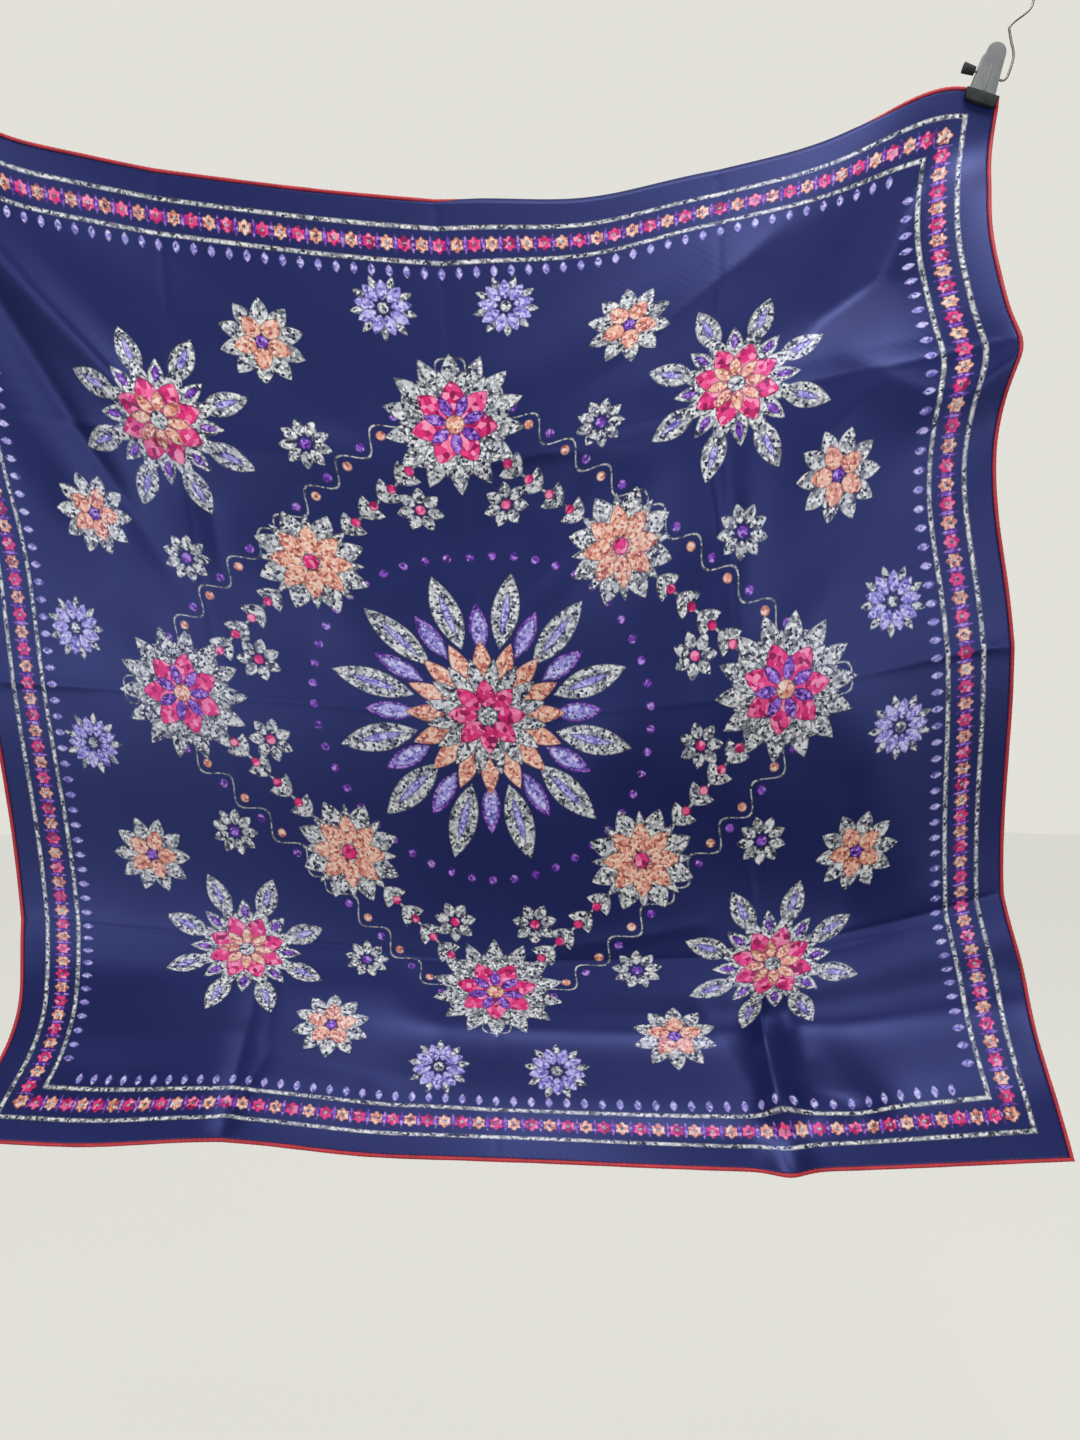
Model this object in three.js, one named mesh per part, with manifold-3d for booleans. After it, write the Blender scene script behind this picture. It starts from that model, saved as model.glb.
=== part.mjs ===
import * as THREE from 'three';
import { mergeVertices } from 'three/addons/utils/BufferGeometryUtils.js';
import Module from 'manifold-3d';

// A square silk scarf that hangs by its two upper corners, each in a spring clip on a bent wire.
// Millimetres, Z up. The printed side faces -Y and the origin is the crown of the right wire hook.

const wasm = await Module();
wasm.setup();

// Cloth
const clothSide = 900;        // the cut square, edge to edge over the rolled hems
const clothWall = 1.2;
const hemRadius = 1.5;        // a rolled hem is a cord 3 mm thick
const hemSides = 8;
const seam = 0.3;             // clearance between pieces that meet
const hemMitre = 0.8;         // how far a side hem stops short of the corner
const stripCells = 10;        // cells across each quarter strip of the cloth
const roundness = 0.5;        // 0 leaves the strips flat between fold lines, 1 rounds them fully

// The scarf was stored folded in four each way. Each row is a fold line across it, from the top
// edge to the bottom edge, at the left edge, the three upright fold lines and the right edge.
// Places are from the middle of the view: x to the right, depth away from the viewer, z up.
const foldLines = [
  { x: [-519, -305, -84, 142, 364], depth: [-8, 0, 14, 12, 0], z: [481, 435.5, 417.5, 440.5, 487.5] },
  { x: [-485, -286, -64, 143, 358.5], depth: [4, 0, 6, -6, -42], z: [260, 221, 199, 252, 285] },
  { x: [-456, -259, -42, 159, 373.5], depth: [44, 32, 20, 4, -6], z: [33, 20, 3, 18, 61] },
  { x: [-446.5, -236, -38, 181, 385.5], depth: [88, 74, 64, 56, 54], z: [-171, -186, -203, -196, -144] },
  { x: [-456.5, -247, -33, 189, 409.5], depth: [-14, -30, -40, -36, -30], z: [-328, -322, -334, -344, -338] },
];

// Where the cloth is drawn aside in its own plane. Places and spreads are shares of the side.
const pulls = [
  { at: 'right corner', s: 0.944, t: 0, across: 0.051, down: 0.07, dx: 0, dz: 21.5 },
  { at: 'right corner tip', s: 1, t: 0, across: 0.016, down: 0.02, dx: 0, dz: -7 },
  { at: 'left corner', s: 0.055, t: 0, across: 0.034, down: 0.07, dx: 0, dz: 20 },
  { at: 'top, left strip', s: 0.065, t: 0, across: 0.04, down: 0.12, dx: 0, dz: -6 },
  { at: 'top, third strip', s: 0.635, t: 0, across: 0.055, down: 0.12, dx: 0, dz: -9.5 },
  { at: 'right, first strip', s: 1, t: 0.135, across: 0.1, down: 0.062, dx: -14, dz: 0 },
  { at: 'right, fold point', s: 1, t: 0.255, across: 0.08, down: 0.018, dx: 6, dz: 0 },
  { at: 'right, second strip', s: 1, t: 0.365, across: 0.1, down: 0.065, dx: -14.5, dz: 0 },
  { at: 'left, second strip', s: 0, t: 0.38, across: 0.1, down: 0.06, dx: 8, dz: 0 },
  { at: 'left, last strip', s: 0, t: 0.885, across: 0.1, down: 0.055, dx: 17, dz: 0 },
  { at: 'right, last strip', s: 1, t: 0.845, across: 0.08, down: 0.038, dx: 9.5, dz: 0 },
  { at: 'bottom, first strip', s: 0.125, t: 1, across: 0.06, down: 0.08, dx: 0, dz: -5 },
  { at: 'bottom, second strip', s: 0.38, t: 1, across: 0.06, down: 0.08, dx: 0, dz: -4 },
];

// Soft ridges (rise above 0, towards the viewer) and troughs (below 0), each along a straight run.
const folds = [
  { at: 'left corner ridge', s0: 0.05, t0: 0.07, s1: 0.22, t1: 0.225, width: 17, rise0: 3, rise1: 7 },
  { at: 'left corner trough', s0: 0.03, t0: 0.13, s1: 0.14, t1: 0.31, width: 26, rise0: -5, rise1: -8 },
  { at: 'left corner sag', s0: 0.1, t0: 0.04, s1: 0.4, t1: 0.2, width: 26, rise0: -3, rise1: -5 },
  { at: 'right corner valley', s0: 0.95, t0: 0.06, s1: 0.885, t1: 0.15, width: 38, rise0: -9, rise1: -8 },
  { at: 'lower corner valley', s0: 0.885, t0: 0.15, s1: 0.7, t1: 0.25, width: 38, rise0: -9, rise1: -6 },
  { at: 'right corner ridge', s0: 0.74, t0: 0.11, s1: 0.56, t1: 0.19, width: 30, rise0: 2, rise1: 5 },
  { at: 'right edge swell', s0: 1.02, t0: 0.08, s1: 1.02, t1: 0.25, width: 45, rise0: 5, rise1: 12 },
  { at: 'right edge trough', s0: 1, t0: 0.32, s1: 0.84, t1: 0.42, width: 22, rise0: -7, rise1: -1 },
  { at: 'right second ridge', s0: 0.95, t0: 0.34, s1: 0.76, t1: 0.5, width: 18, rise0: 1, rise1: 4 },
  { at: 'upper fold roll', s0: 0.24, t0: 0.242, s1: 0.7, t1: 0.238, width: 12, rise0: 1.5, rise1: 2 },
  { at: 'under the fold', s0: 0.22, t0: 0.31, s1: 0.6, t1: 0.31, width: 26, rise0: -4, rise1: -7 },
  { at: 'middle ridge', s0: 0.47, t0: 0.49, s1: 0.68, t1: 0.3, width: 16, rise0: 3, rise1: 2 },
  { at: 'middle trough', s0: 0.57, t0: 0.5, s1: 0.72, t1: 0.36, width: 30, rise0: -7, rise1: -3 },
  { at: 'third upright ridge', s0: 0.77, t0: 0.27, s1: 0.752, t1: 0.43, width: 15, rise0: 3, rise1: 3 },
  { at: 'left of the middle', s0: 0.2, t0: 0.44, s1: 0.33, t1: 0.44, width: 26, rise0: -3, rise1: -3 },
  { at: 'waist trough', s0: 0.54, t0: 0.53, s1: 0.84, t1: 0.73, width: 34, rise0: -4, rise1: -3 },
  { at: 'waist ridge', s0: 0.84, t0: 0.52, s1: 0.92, t1: 0.72, width: 28, rise0: 3, rise1: 4 },
  { at: 'lower left sag', s0: 0.04, t0: 0.79, s1: 0.4, t1: 0.79, width: 18, rise0: -3, rise1: -3 },
  { at: 'lower left dip', s0: 0.05, t0: 0.92, s1: 0.36, t1: 0.93, width: 17, rise0: -4, rise1: -3 },
  { at: 'lower middle roll', s0: 0.5, t0: 0.93, s1: 0.7, t1: 0.955, width: 18, rise0: 2, rise1: 4 },
  { at: 'flap valley', s0: 0.752, t0: 0.74, s1: 0.757, t1: 0.93, width: 11, rise0: 0, rise1: -20 },
  { at: 'flap valley lip', s0: 0.79, t0: 0.88, s1: 0.82, t1: 0.93, width: 16, rise0: 5, rise1: 9 },
  { at: 'second flap valley', s0: 0.25, t0: 0.8, s1: 0.25, t1: 0.98, width: 8, rise0: -1, rise1: -3 },
  { at: 'flap hollow', s0: -0.1, t0: 0.82, s1: 1.1, t1: 0.87, width: 36, rise0: -8, rise1: -13 },
  { at: 'flap hollow, right', s0: 0.45, t0: 0.865, s1: 0.98, t1: 0.85, width: 34, rise0: -11, rise1: -15 },
  { at: 'flap ridge', s0: 0.75, t0: 0.97, s1: 0.75, t1: 1, width: 12, rise0: 6, rise1: 12 },
];

// Clips. Each hangs in the plane y = 0 and leans outward from the middle of the scarf.
const clipLean = THREE.MathUtils.degToRad(18);
const jawReach = 32;          // the cloth is flat this far from a held corner
const jawFade = 95;           // and free from here on
const padWidth = 26.4;
const padNarrow = 22.4;        // across the lower, narrower end of a pad
const padHeight = 9.6;
const padDepth = 4.6;
const padFromCorner = 15.6;   // the pad's middle, in from the corner and down from the top edge
const padFromTop = 8.6;
const pivotAbovePad = 20.8;
const leverTop = 22.8;        // above the pivot
const leverTopWidth = 15;
const leverFootWidth = 20;
const leverPlate = 1.8;
const leverSpread = 4;        // how far the handles stand apart, each side, past the jaws
const earRadius = 3.6;
const earThick = 1.4;
const frontEarX = 6;          // middle of an ear from the middle of the clip
const backEarX = 4;
const springRadius = 3;
const springHalf = 2.9;
const capLength = 9.7;
const capInner = 10.6;        // the cap's inner end from the middle of the clip
const capNarrow = 3.5;
const capWide = 4.4;
const capFloor = 1.7;

// Wires. The route runs from the bend beside the clip, measured from the pivot, outward and up.
const wireRadius = 1;
const wireSides = 8;
const wireSteps = 56;
const wireRoute = [
  { x: 12, z: -4 },
  { x: 15, z: -2 },
  { x: 17, z: 2 },
  { x: 19.2, z: 8.5 },
  { x: 20.6, z: 14.5 },
  { x: 20.4, z: 20 },
  { x: 19, z: 26 },
  { x: 17.7, z: 33.5 },
  { x: 17.4, z: 37.5 },
  { x: 19.8, z: 41 },
  { x: 31.5, z: 50.2 },
  { x: 35, z: 54.5 },
  { x: 36.5, z: 60 },
  { x: 37, z: 70 },
];
const hookRadius = 9;        // of the wire's middle line
const hookTurn = Math.PI * 1.15;
const hookPoints = 8;

const silk = { name: 'printed_silk', color: 0x262a5f, roughness: 0.45, metalness: 0 };
const hemSilk = { name: 'red_hem', color: 0xc83246, roughness: 0.6, metalness: 0 };
const greyPlastic = { name: 'grey_plastic', color: 0x828587, roughness: 0.5, metalness: 0 };
const blackRubber = { name: 'black_rubber', color: 0x2f3434, roughness: 0.8, metalness: 0 };
const steelWire = { name: 'steel_wire', color: 0x8f8f8a, roughness: 0.35, metalness: 1 };

// Value of five numbers along a line, at a place from 0 to 4: between straight and rounded.
function along(values, place) {
  const cell = Math.min(Math.max(Math.floor(place), 0), values.length - 2);
  const f = place - cell;
  const a = values[cell];
  const b = values[cell + 1];
  const before = cell > 0 ? values[cell - 1] : 2 * a - b;
  const after = cell + 2 < values.length ? values[cell + 2] : 2 * b - a;
  const straight = a + (b - a) * f;
  const bend = f * (1 - f) * ((1 - f) * (2 * a - before - b) + f * (2 * b - a - after)) / 2;
  return straight + bend * roundness;
}

function fromLines(key, s, t) {
  return along(foldLines.map((line) => along(line[key], s * 4)), t * 4);
}

function bell(distance, width) {
  return Math.exp(-0.5 * (distance / width) ** 2);
}

// Distance from a place on the flat cloth to a fold's run, and how far along the run that is.
function fromRun(fold, s, t) {
  const runS = (fold.s1 - fold.s0) * clothSide;
  const runT = (fold.t1 - fold.t0) * clothSide;
  const offS = (s - fold.s0) * clothSide;
  const offT = (t - fold.t0) * clothSide;
  const share = THREE.MathUtils.clamp((offS * runS + offT * runT) / (runS ** 2 + runT ** 2), 0, 1);
  return { distance: Math.hypot(offS - share * runS, offT - share * runT), share };
}

function foldRise(s, t) {
  let rise = 0;
  for (const fold of folds) {
    const { distance, share } = fromRun(fold, s, t);
    rise += bell(distance, fold.width) * THREE.MathUtils.lerp(fold.rise0, fold.rise1, share);
  }
  return rise;
}

// 0 where a clip holds the cloth flat, 1 where it hangs free.
function freedom(s, t) {
  const down = t * clothSide;
  const left = Math.hypot(s * clothSide, down);
  const right = Math.hypot((1 - s) * clothSide, down);
  return THREE.MathUtils.smoothstep(Math.min(left, right), jawReach, jawFade);
}

// The middle of the cloth's wall, at shares s across from the left edge and t down from the top.
function clothPoint(s, t) {
  const point = new THREE.Vector3(fromLines('x', s, t), 0, fromLines('z', s, t));
  for (const pull of pulls) {
    const share = bell(s - pull.s, pull.across) * bell(t - pull.t, pull.down);
    point.x += share * pull.dx;
    point.z += share * pull.dz;
  }
  point.y = (fromLines('depth', s, t) - foldRise(s, t)) * freedom(s, t);
  return point;
}

// Directions on the cloth: to the right, down and out of the printed side.
function clothFrame(s, t) {
  const step = 0.003;
  const right = clothPoint(s + step, t).sub(clothPoint(s - step, t)).normalize();
  const down = clothPoint(s, t + step).sub(clothPoint(s, t - step)).normalize();
  const front = new THREE.Vector3().crossVectors(down, right).normalize();
  return { point: clothPoint(s, t), right, down, front };
}

// Shares of the grid lines from edge to edge of the panel, with a line on each fold line.
function gridLines() {
  const inset = (2 * hemRadius + seam) / clothSide;
  const stops = [inset, 0.25, 0.5, 0.75, 1 - inset];
  const lines = [stops[0]];
  for (let strip = 0; strip < 4; strip += 1) {
    for (let cell = 1; cell <= stripCells; cell += 1) {
      lines.push(THREE.MathUtils.lerp(stops[strip], stops[strip + 1], cell / stripCells));
    }
  }
  return lines;
}

function meshFromFaces(points, faces) {
  const geometry = new THREE.BufferGeometry();
  geometry.setAttribute('position', new THREE.Float32BufferAttribute(points.flatMap((p) => p.toArray()), 3));
  geometry.setIndex(faces.flat());
  geometry.computeVertexNormals();
  return geometry;
}

// How far the middle of a cell's diagonal lies from the cloth: the nearer diagonal is the crease.
function offMiddle(from, to, middle) {
  return from.clone().add(to).multiplyScalar(0.5).distanceTo(middle);
}

// The panel: a front sheet and a back sheet of the same grid, joined round the edge.
function panelGeometry() {
  const lines = gridLines();
  const size = lines.length;
  const points = [];
  for (const side of [1, -1]) {
    for (const t of lines) {
      for (const s of lines) {
        const { point, front } = clothFrame(s, t);
        points.push(point.addScaledVector(front, side * clothWall / 2));
      }
    }
  }
  const back = size * size;
  const faces = [];
  for (let row = 0; row < size - 1; row += 1) {
    for (let column = 0; column < size - 1; column += 1) {
      const a = row * size + column;
      const b = a + 1;
      const c = a + size;
      const d = c + 1;
      const middle = clothPoint((lines[column] + lines[column + 1]) / 2, (lines[row] + lines[row + 1]) / 2);
      const halves = offMiddle(points[a], points[d], middle) < offMiddle(points[b], points[c], middle)
        ? [[a, c, d], [a, d, b]]
        : [[a, c, b], [b, c, d]];
      for (const [first, second, third] of halves) {
        faces.push([first, second, third], [first + back, third + back, second + back]);
      }
    }
  }
  const rim = [];
  const last = size - 1;
  for (let i = 0; i < last; i += 1) rim.push([i, 0]);
  for (let i = 0; i < last; i += 1) rim.push([last, i]);
  for (let i = last; i > 0; i -= 1) rim.push([i, last]);
  for (let i = last; i > 0; i -= 1) rim.push([0, i]);
  for (let i = 0; i < rim.length; i += 1) {
    const [column, row] = rim[i];
    const [nextColumn, nextRow] = rim[(i + 1) % rim.length];
    const a = row * size + column;
    const b = nextRow * size + nextColumn;
    faces.push([a, b, b + back], [a, b + back, a + back]);
  }
  return meshFromFaces(points, faces);
}

// A closed cord through rings of points, each ring around its own centre.
function cordGeometry(rings) {
  const sides = rings[0].ring.length;
  const points = rings.flatMap(({ ring }) => ring);
  const faces = [];
  for (let i = 0; i < rings.length - 1; i += 1) {
    for (let k = 0; k < sides; k += 1) {
      const a = i * sides + k;
      const b = i * sides + (k + 1) % sides;
      faces.push([a, b, b + sides], [a, b + sides, a + sides]);
    }
  }
  const first = points.push(rings[0].centre) - 1;
  const last = points.push(rings[rings.length - 1].centre) - 1;
  const lastRing = (rings.length - 1) * sides;
  for (let k = 0; k < sides; k += 1) {
    const next = (k + 1) % sides;
    faces.push([first, next, k], [last, lastRing + k, lastRing + next]);
  }
  return meshFromFaces(points, faces);
}

// One ring of a hem: a cord whose middle lies outside the panel's edge by the seam and its radius.
function hemRing(frame, outward, front, shift) {
  const flat = hemRadius * Math.cos(Math.PI / hemSides);
  const centre = frame.point.clone().addScaledVector(outward, seam + flat).add(shift);
  const ring = [];
  for (let k = 0; k < hemSides; k += 1) {
    const angle = 2 * Math.PI * (k + 0.5) / hemSides;
    const point = centre.clone().addScaledVector(outward, hemRadius * Math.cos(angle));
    ring.push(point.addScaledVector(front, hemRadius * Math.sin(angle)));
  }
  return { centre, ring };
}

// Edges: the hem runs along one, pushed out to the named side. Top and bottom hems run past the
// panel's corners and over the ends of the side hems.
const hemEdges = {
  hem_top: { fixed: 't', end: 0, past: 2 * hemRadius + seam },
  hem_bottom: { fixed: 't', end: 1, past: 2 * hemRadius + seam },
  hem_left: { fixed: 's', end: 0, past: -hemMitre },
  hem_right: { fixed: 's', end: 1, past: -hemMitre },
};

function hemGeometry(edge) {
  const lines = gridLines();
  const edgeShare = edge.end === 0 ? lines[0] : lines[lines.length - 1];
  const acrossKey = edge.fixed === 't' ? 'down' : 'right';
  const runKey = edge.fixed === 't' ? 'right' : 'down';
  const rings = lines.map((share, i) => {
    const frame = edge.fixed === 't' ? clothFrame(share, edgeShare) : clothFrame(edgeShare, share);
    const run = frame[runKey];
    const outward = frame[acrossKey].clone().addScaledVector(run, -frame[acrossKey].dot(run));
    outward.normalize().multiplyScalar(edge.end === 0 ? -1 : 1);
    const isStart = i === 0;
    const isEnd = i === lines.length - 1;
    const shift = run.clone().multiplyScalar(isEnd ? edge.past : isStart ? -edge.past : 0);
    return hemRing(frame, outward, frame.front, shift);
  });
  const outwardTurn = (edge.fixed === 't') === (edge.end === 0);
  return cordGeometry(outwardTurn ? rings : rings.reverse());
}

function toManifold(geometry) {
  const bare = geometry.clone();
  bare.deleteAttribute('normal');
  bare.deleteAttribute('uv');
  const merged = mergeVertices(bare, 1e-4);
  return new wasm.Manifold(new wasm.Mesh({
    numProp: 3,
    vertProperties: new Float32Array(merged.attributes.position.array),
    triVerts: new Uint32Array(merged.index.array),
  }));
}

function fromManifold(solid) {
  const { numProp, vertProperties, triVerts } = solid.getMesh();
  const geometry = new THREE.BufferGeometry();
  const positions = [];
  for (let i = 0; i < vertProperties.length; i += numProp) {
    positions.push(vertProperties[i], vertProperties[i + 1], vertProperties[i + 2]);
  }
  geometry.setAttribute('position', new THREE.Float32BufferAttribute(positions, 3));
  geometry.setIndex(Array.from(triVerts));
  geometry.computeVertexNormals();
  return geometry;
}

function outline(points) {
  return new THREE.Shape(points.map(([x, y]) => new THREE.Vector2(x, y)));
}

// A round bar along X, centred on the pivot's line.
function barAlongX(radius, length, middle) {
  return new THREE.CylinderGeometry(radius, radius, length, 20).rotateZ(Math.PI / 2).translate(middle, 0, 0);
}

// The lever's outline as seen from the front: a round top that widens down to the pad.
function leverFace() {
  const half = leverTopWidth / 2;
  const foot = padHeight / 2 - pivotAbovePad + seam;
  const shape = new THREE.Shape();
  shape.moveTo(-leverFootWidth / 2, foot);
  shape.lineTo(leverFootWidth / 2, foot);
  shape.lineTo(half, leverTop - half);
  shape.absarc(0, leverTop - half, half, 0, Math.PI, false);
  shape.lineTo(-leverFootWidth / 2, foot);
  return new THREE.ExtrudeGeometry(shape, { depth: 60, bevelEnabled: false, curveSegments: 10 })
    .translate(0, 0, -30)
    .rotateX(Math.PI / 2);
}

// The lever seen from the side: a thin plate over the pad, bowed out past the pivot to the handle.
function leverSide() {
  const foot = padHeight / 2 - pivotAbovePad + seam;
  const inner = hemRadius + seam + (padDepth - leverPlate) / 2;
  const handle = inner + leverSpread;
  const plate = outline([
    [inner, foot - 1],
    [inner + leverPlate, foot - 1],
    [inner + leverPlate + 0.6, 0],
    [handle + leverPlate, leverTop + 1],
    [handle, leverTop + 1],
    [inner + 0.6, 0],
  ]);
  return new THREE.ExtrudeGeometry(plate, { depth: 40, bevelEnabled: false })
    .translate(0, 0, -20)
    .rotateX(Math.PI / 2)
    .rotateZ(Math.PI / 2);
}

// One lever of a clip, at y above 0. The two ears carry it on the wire that is the clip's pivot.
function leverGeometry(earX) {
  const reach = hemRadius + seam + padDepth / 2;
  let lever = toManifold(leverFace()).intersect(toManifold(leverSide()));
  for (const side of [-1, 1]) {
    const disc = barAlongX(earRadius, earThick, side * earX);
    const arm = new THREE.BoxGeometry(earThick, reach, 2 * earRadius).translate(side * earX, reach / 2, 0);
    lever = lever.add(toManifold(disc)).add(toManifold(arm));
  }
  const hole = barAlongX(wireRadius + seam, leverFootWidth * 2, 0);
  return fromManifold(lever.subtract(toManifold(hole)));
}

// A rubber pad of a jaw, at y above 0, clear of the rolled hem that it grips.
function padGeometry() {
  const top = padHeight / 2;
  const corner = 3;
  const shape = outline([
    [-padWidth / 2, top],
    [-padWidth / 2, top - corner],
    [-padNarrow / 2, -top],
    [padNarrow / 2, -top],
    [padWidth / 2, top - corner],
    [padWidth / 2, top],
  ]);
  return new THREE.ExtrudeGeometry(shape, { depth: padDepth, bevelEnabled: false })
    .rotateX(Math.PI / 2)
    .translate(0, padDepth + hemRadius + seam, -pivotAbovePad);
}

function springGeometry() {
  const bore = wireRadius + seam;
  const ring = [
    new THREE.Vector2(bore, -springHalf),
    new THREE.Vector2(springRadius, -springHalf),
    new THREE.Vector2(springRadius, springHalf),
    new THREE.Vector2(bore, springHalf),
    new THREE.Vector2(bore, -springHalf),
  ];
  return new THREE.LatheGeometry(ring, 16).rotateZ(Math.PI / 2);
}

// The rubber cap on the wire's inner end, wider at its closed end.
function capGeometry() {
  const bore = wireRadius + seam;
  const end = capInner + capLength;
  const profile = [
    new THREE.Vector2(0, end - capFloor),
    new THREE.Vector2(bore, end - capFloor),
    new THREE.Vector2(bore, capInner),
    new THREE.Vector2(capNarrow, capInner),
    new THREE.Vector2(capWide, end),
    new THREE.Vector2(0, end),
  ];
  return new THREE.LatheGeometry(profile, 16).rotateZ(Math.PI / 2);
}

// The wire's middle line, measured from the pivot for the right side: through the clip, then up.
function wireLine() {
  const lean = new THREE.Vector3(Math.cos(clipLean), 0, -Math.sin(clipLean));
  const start = -(capInner + capLength - capFloor - seam);
  const points = [];
  for (const x of [start, start / 2, 0, 6]) {
    points.push(lean.clone().multiplyScalar(x));
  }
  for (const { x, z } of wireRoute) {
    points.push(new THREE.Vector3(x, 0, z));
  }
  const shank = wireRoute[wireRoute.length - 1];
  for (let i = 1; i <= hookPoints; i += 1) {
    const angle = Math.PI - hookTurn * i / hookPoints;
    const x = shank.x + hookRadius + hookRadius * Math.cos(angle);
    points.push(new THREE.Vector3(x, 0, shank.z + hookRadius * Math.sin(angle)));
  }
  return points;
}

function wireGeometry() {
  const section = new THREE.Shape().absarc(0, 0, wireRadius, 0, 2 * Math.PI);
  const path = new THREE.CatmullRomCurve3(wireLine(), false, 'centripetal');
  return new THREE.ExtrudeGeometry(section, {
    steps: wireSteps,
    extrudePath: path,
    bevelEnabled: false,
    curveSegments: wireSides / 2,
  });
}

// Turns a geometry inside out again after it has been mirrored.
function mirrored(geometry, axis) {
  const scale = { x: [-1, 1, 1], y: [1, -1, 1] }[axis];
  const flipped = geometry.index ? geometry.toNonIndexed() : geometry.clone();
  flipped.scale(...scale);
  const position = flipped.attributes.position;
  for (let i = 0; i < position.count; i += 3) {
    const first = new THREE.Vector3().fromBufferAttribute(position, i);
    const third = new THREE.Vector3().fromBufferAttribute(position, i + 2);
    position.setXYZ(i, ...third.toArray());
    position.setXYZ(i + 2, ...first.toArray());
  }
  flipped.computeVertexNormals();
  return flipped;
}

function named(name, geometry, look) {
  const material = new THREE.MeshStandardMaterial(look);
  const mesh = new THREE.Mesh(geometry, material);
  mesh.name = name;
  return mesh;
}

// Where a clip's pivot lies: above the pad, which is centred a little in from the held corner.
function pivotPlace(outward) {
  const inward = padFromCorner / clothSide;
  const pad = clothPoint(outward > 0 ? 1 - inward : inward, padFromTop / clothSide);
  const up = new THREE.Vector3(outward * Math.sin(clipLean), 0, Math.cos(clipLean));
  return pad.setY(0).addScaledVector(up, pivotAbovePad);
}

// One clip on its wire. outward is 1 at the right corner and -1 at the left.
function clipGroup(side, outward) {
  const pieces = {
    front_lever: [mirrored(leverGeometry(frontEarX), 'y'), greyPlastic],
    back_lever: [leverGeometry(backEarX), greyPlastic],
    front_pad: [mirrored(padGeometry(), 'y'), blackRubber],
    back_pad: [padGeometry(), blackRubber],
    spring: [springGeometry(), steelWire],
    wire_cap: [outward > 0 ? capGeometry() : mirrored(capGeometry(), 'x'), blackRubber],
  };
  const clip = new THREE.Group();
  clip.rotation.y = outward * clipLean;
  for (const [name, [geometry, look]] of Object.entries(pieces)) {
    clip.add(named(`clip_${side}_${name}`, geometry, look));
  }
  const wire = outward > 0 ? wireGeometry() : mirrored(wireGeometry(), 'x');
  const group = new THREE.Group();
  group.add(clip, named(`wire_hook_${side}`, wire, steelWire));
  group.position.copy(pivotPlace(outward));
  return group;
}

// The crown of the right hook: the inner side of its wire, where it rests on a rail.
function hookCrown() {
  const shank = wireRoute[wireRoute.length - 1];
  const crown = new THREE.Vector3(shank.x + hookRadius, 0, shank.z + hookRadius - wireRadius);
  return crown.add(pivotPlace(1));
}

const scarf = new THREE.Group();
scarf.add(named('silk_square', panelGeometry(), silk));
for (const [name, edge] of Object.entries(hemEdges)) {
  scarf.add(named(name, hemGeometry(edge), hemSilk));
}
scarf.add(clipGroup('right', 1), clipGroup('left', -1));
scarf.position.copy(hookCrown().negate());

const group = new THREE.Group();
group.add(scarf);
export default group;
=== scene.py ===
import math
import bmesh
import bpy
import numpy as np
from mathutils import Matrix, Vector


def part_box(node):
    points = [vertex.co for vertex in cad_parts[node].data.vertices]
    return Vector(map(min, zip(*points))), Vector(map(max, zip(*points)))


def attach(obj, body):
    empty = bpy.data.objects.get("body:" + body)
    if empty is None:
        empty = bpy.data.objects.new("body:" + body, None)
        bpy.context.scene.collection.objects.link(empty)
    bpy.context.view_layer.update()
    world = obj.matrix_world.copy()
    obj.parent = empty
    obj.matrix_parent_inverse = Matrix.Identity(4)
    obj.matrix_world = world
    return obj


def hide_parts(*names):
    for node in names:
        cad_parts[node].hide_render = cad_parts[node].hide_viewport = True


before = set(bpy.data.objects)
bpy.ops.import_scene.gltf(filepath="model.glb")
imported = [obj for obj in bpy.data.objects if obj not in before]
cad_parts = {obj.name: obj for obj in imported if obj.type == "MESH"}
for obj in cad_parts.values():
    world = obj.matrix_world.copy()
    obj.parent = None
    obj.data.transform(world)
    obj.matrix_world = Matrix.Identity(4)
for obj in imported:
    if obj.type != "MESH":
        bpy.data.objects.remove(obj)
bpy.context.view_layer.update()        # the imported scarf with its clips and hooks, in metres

scene = bpy.context.scene
scene.view_settings.view_transform = "Standard"
mm = 0.001
print("frame loaded,", len(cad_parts), "nodes")


# how the scarf hangs. places are in mm from the middle of the view: x right, depth away, z up.
# one row for each fold line across it, at the left edge, three upright fold lines, right edge
foldLines = [
    {"x": [-519, -305, -84, 142, 364], "depth": [-8, 0, 14, 12, 0], "z": [481, 435.5, 417.5, 440.5, 487.5]},
    {"x": [-485, -286, -64, 143, 358.5], "depth": [4, 0, 6, -6, -42], "z": [260, 221, 199, 252, 285]},
    {"x": [-456, -259, -42, 159, 373.5], "depth": [44, 32, 20, 4, -6], "z": [33, 20, 3, 18, 61]},
    {"x": [-446.5, -236, -38, 181, 385.5], "depth": [88, 74, 64, 56, 54], "z": [-171, -186, -203, -196, -144]},
    {"x": [-456.5, -247, -33, 189, 409.5], "depth": [-14, -30, -40, -36, -30], "z": [-328, -322, -334, -344, -338]},
]

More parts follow.
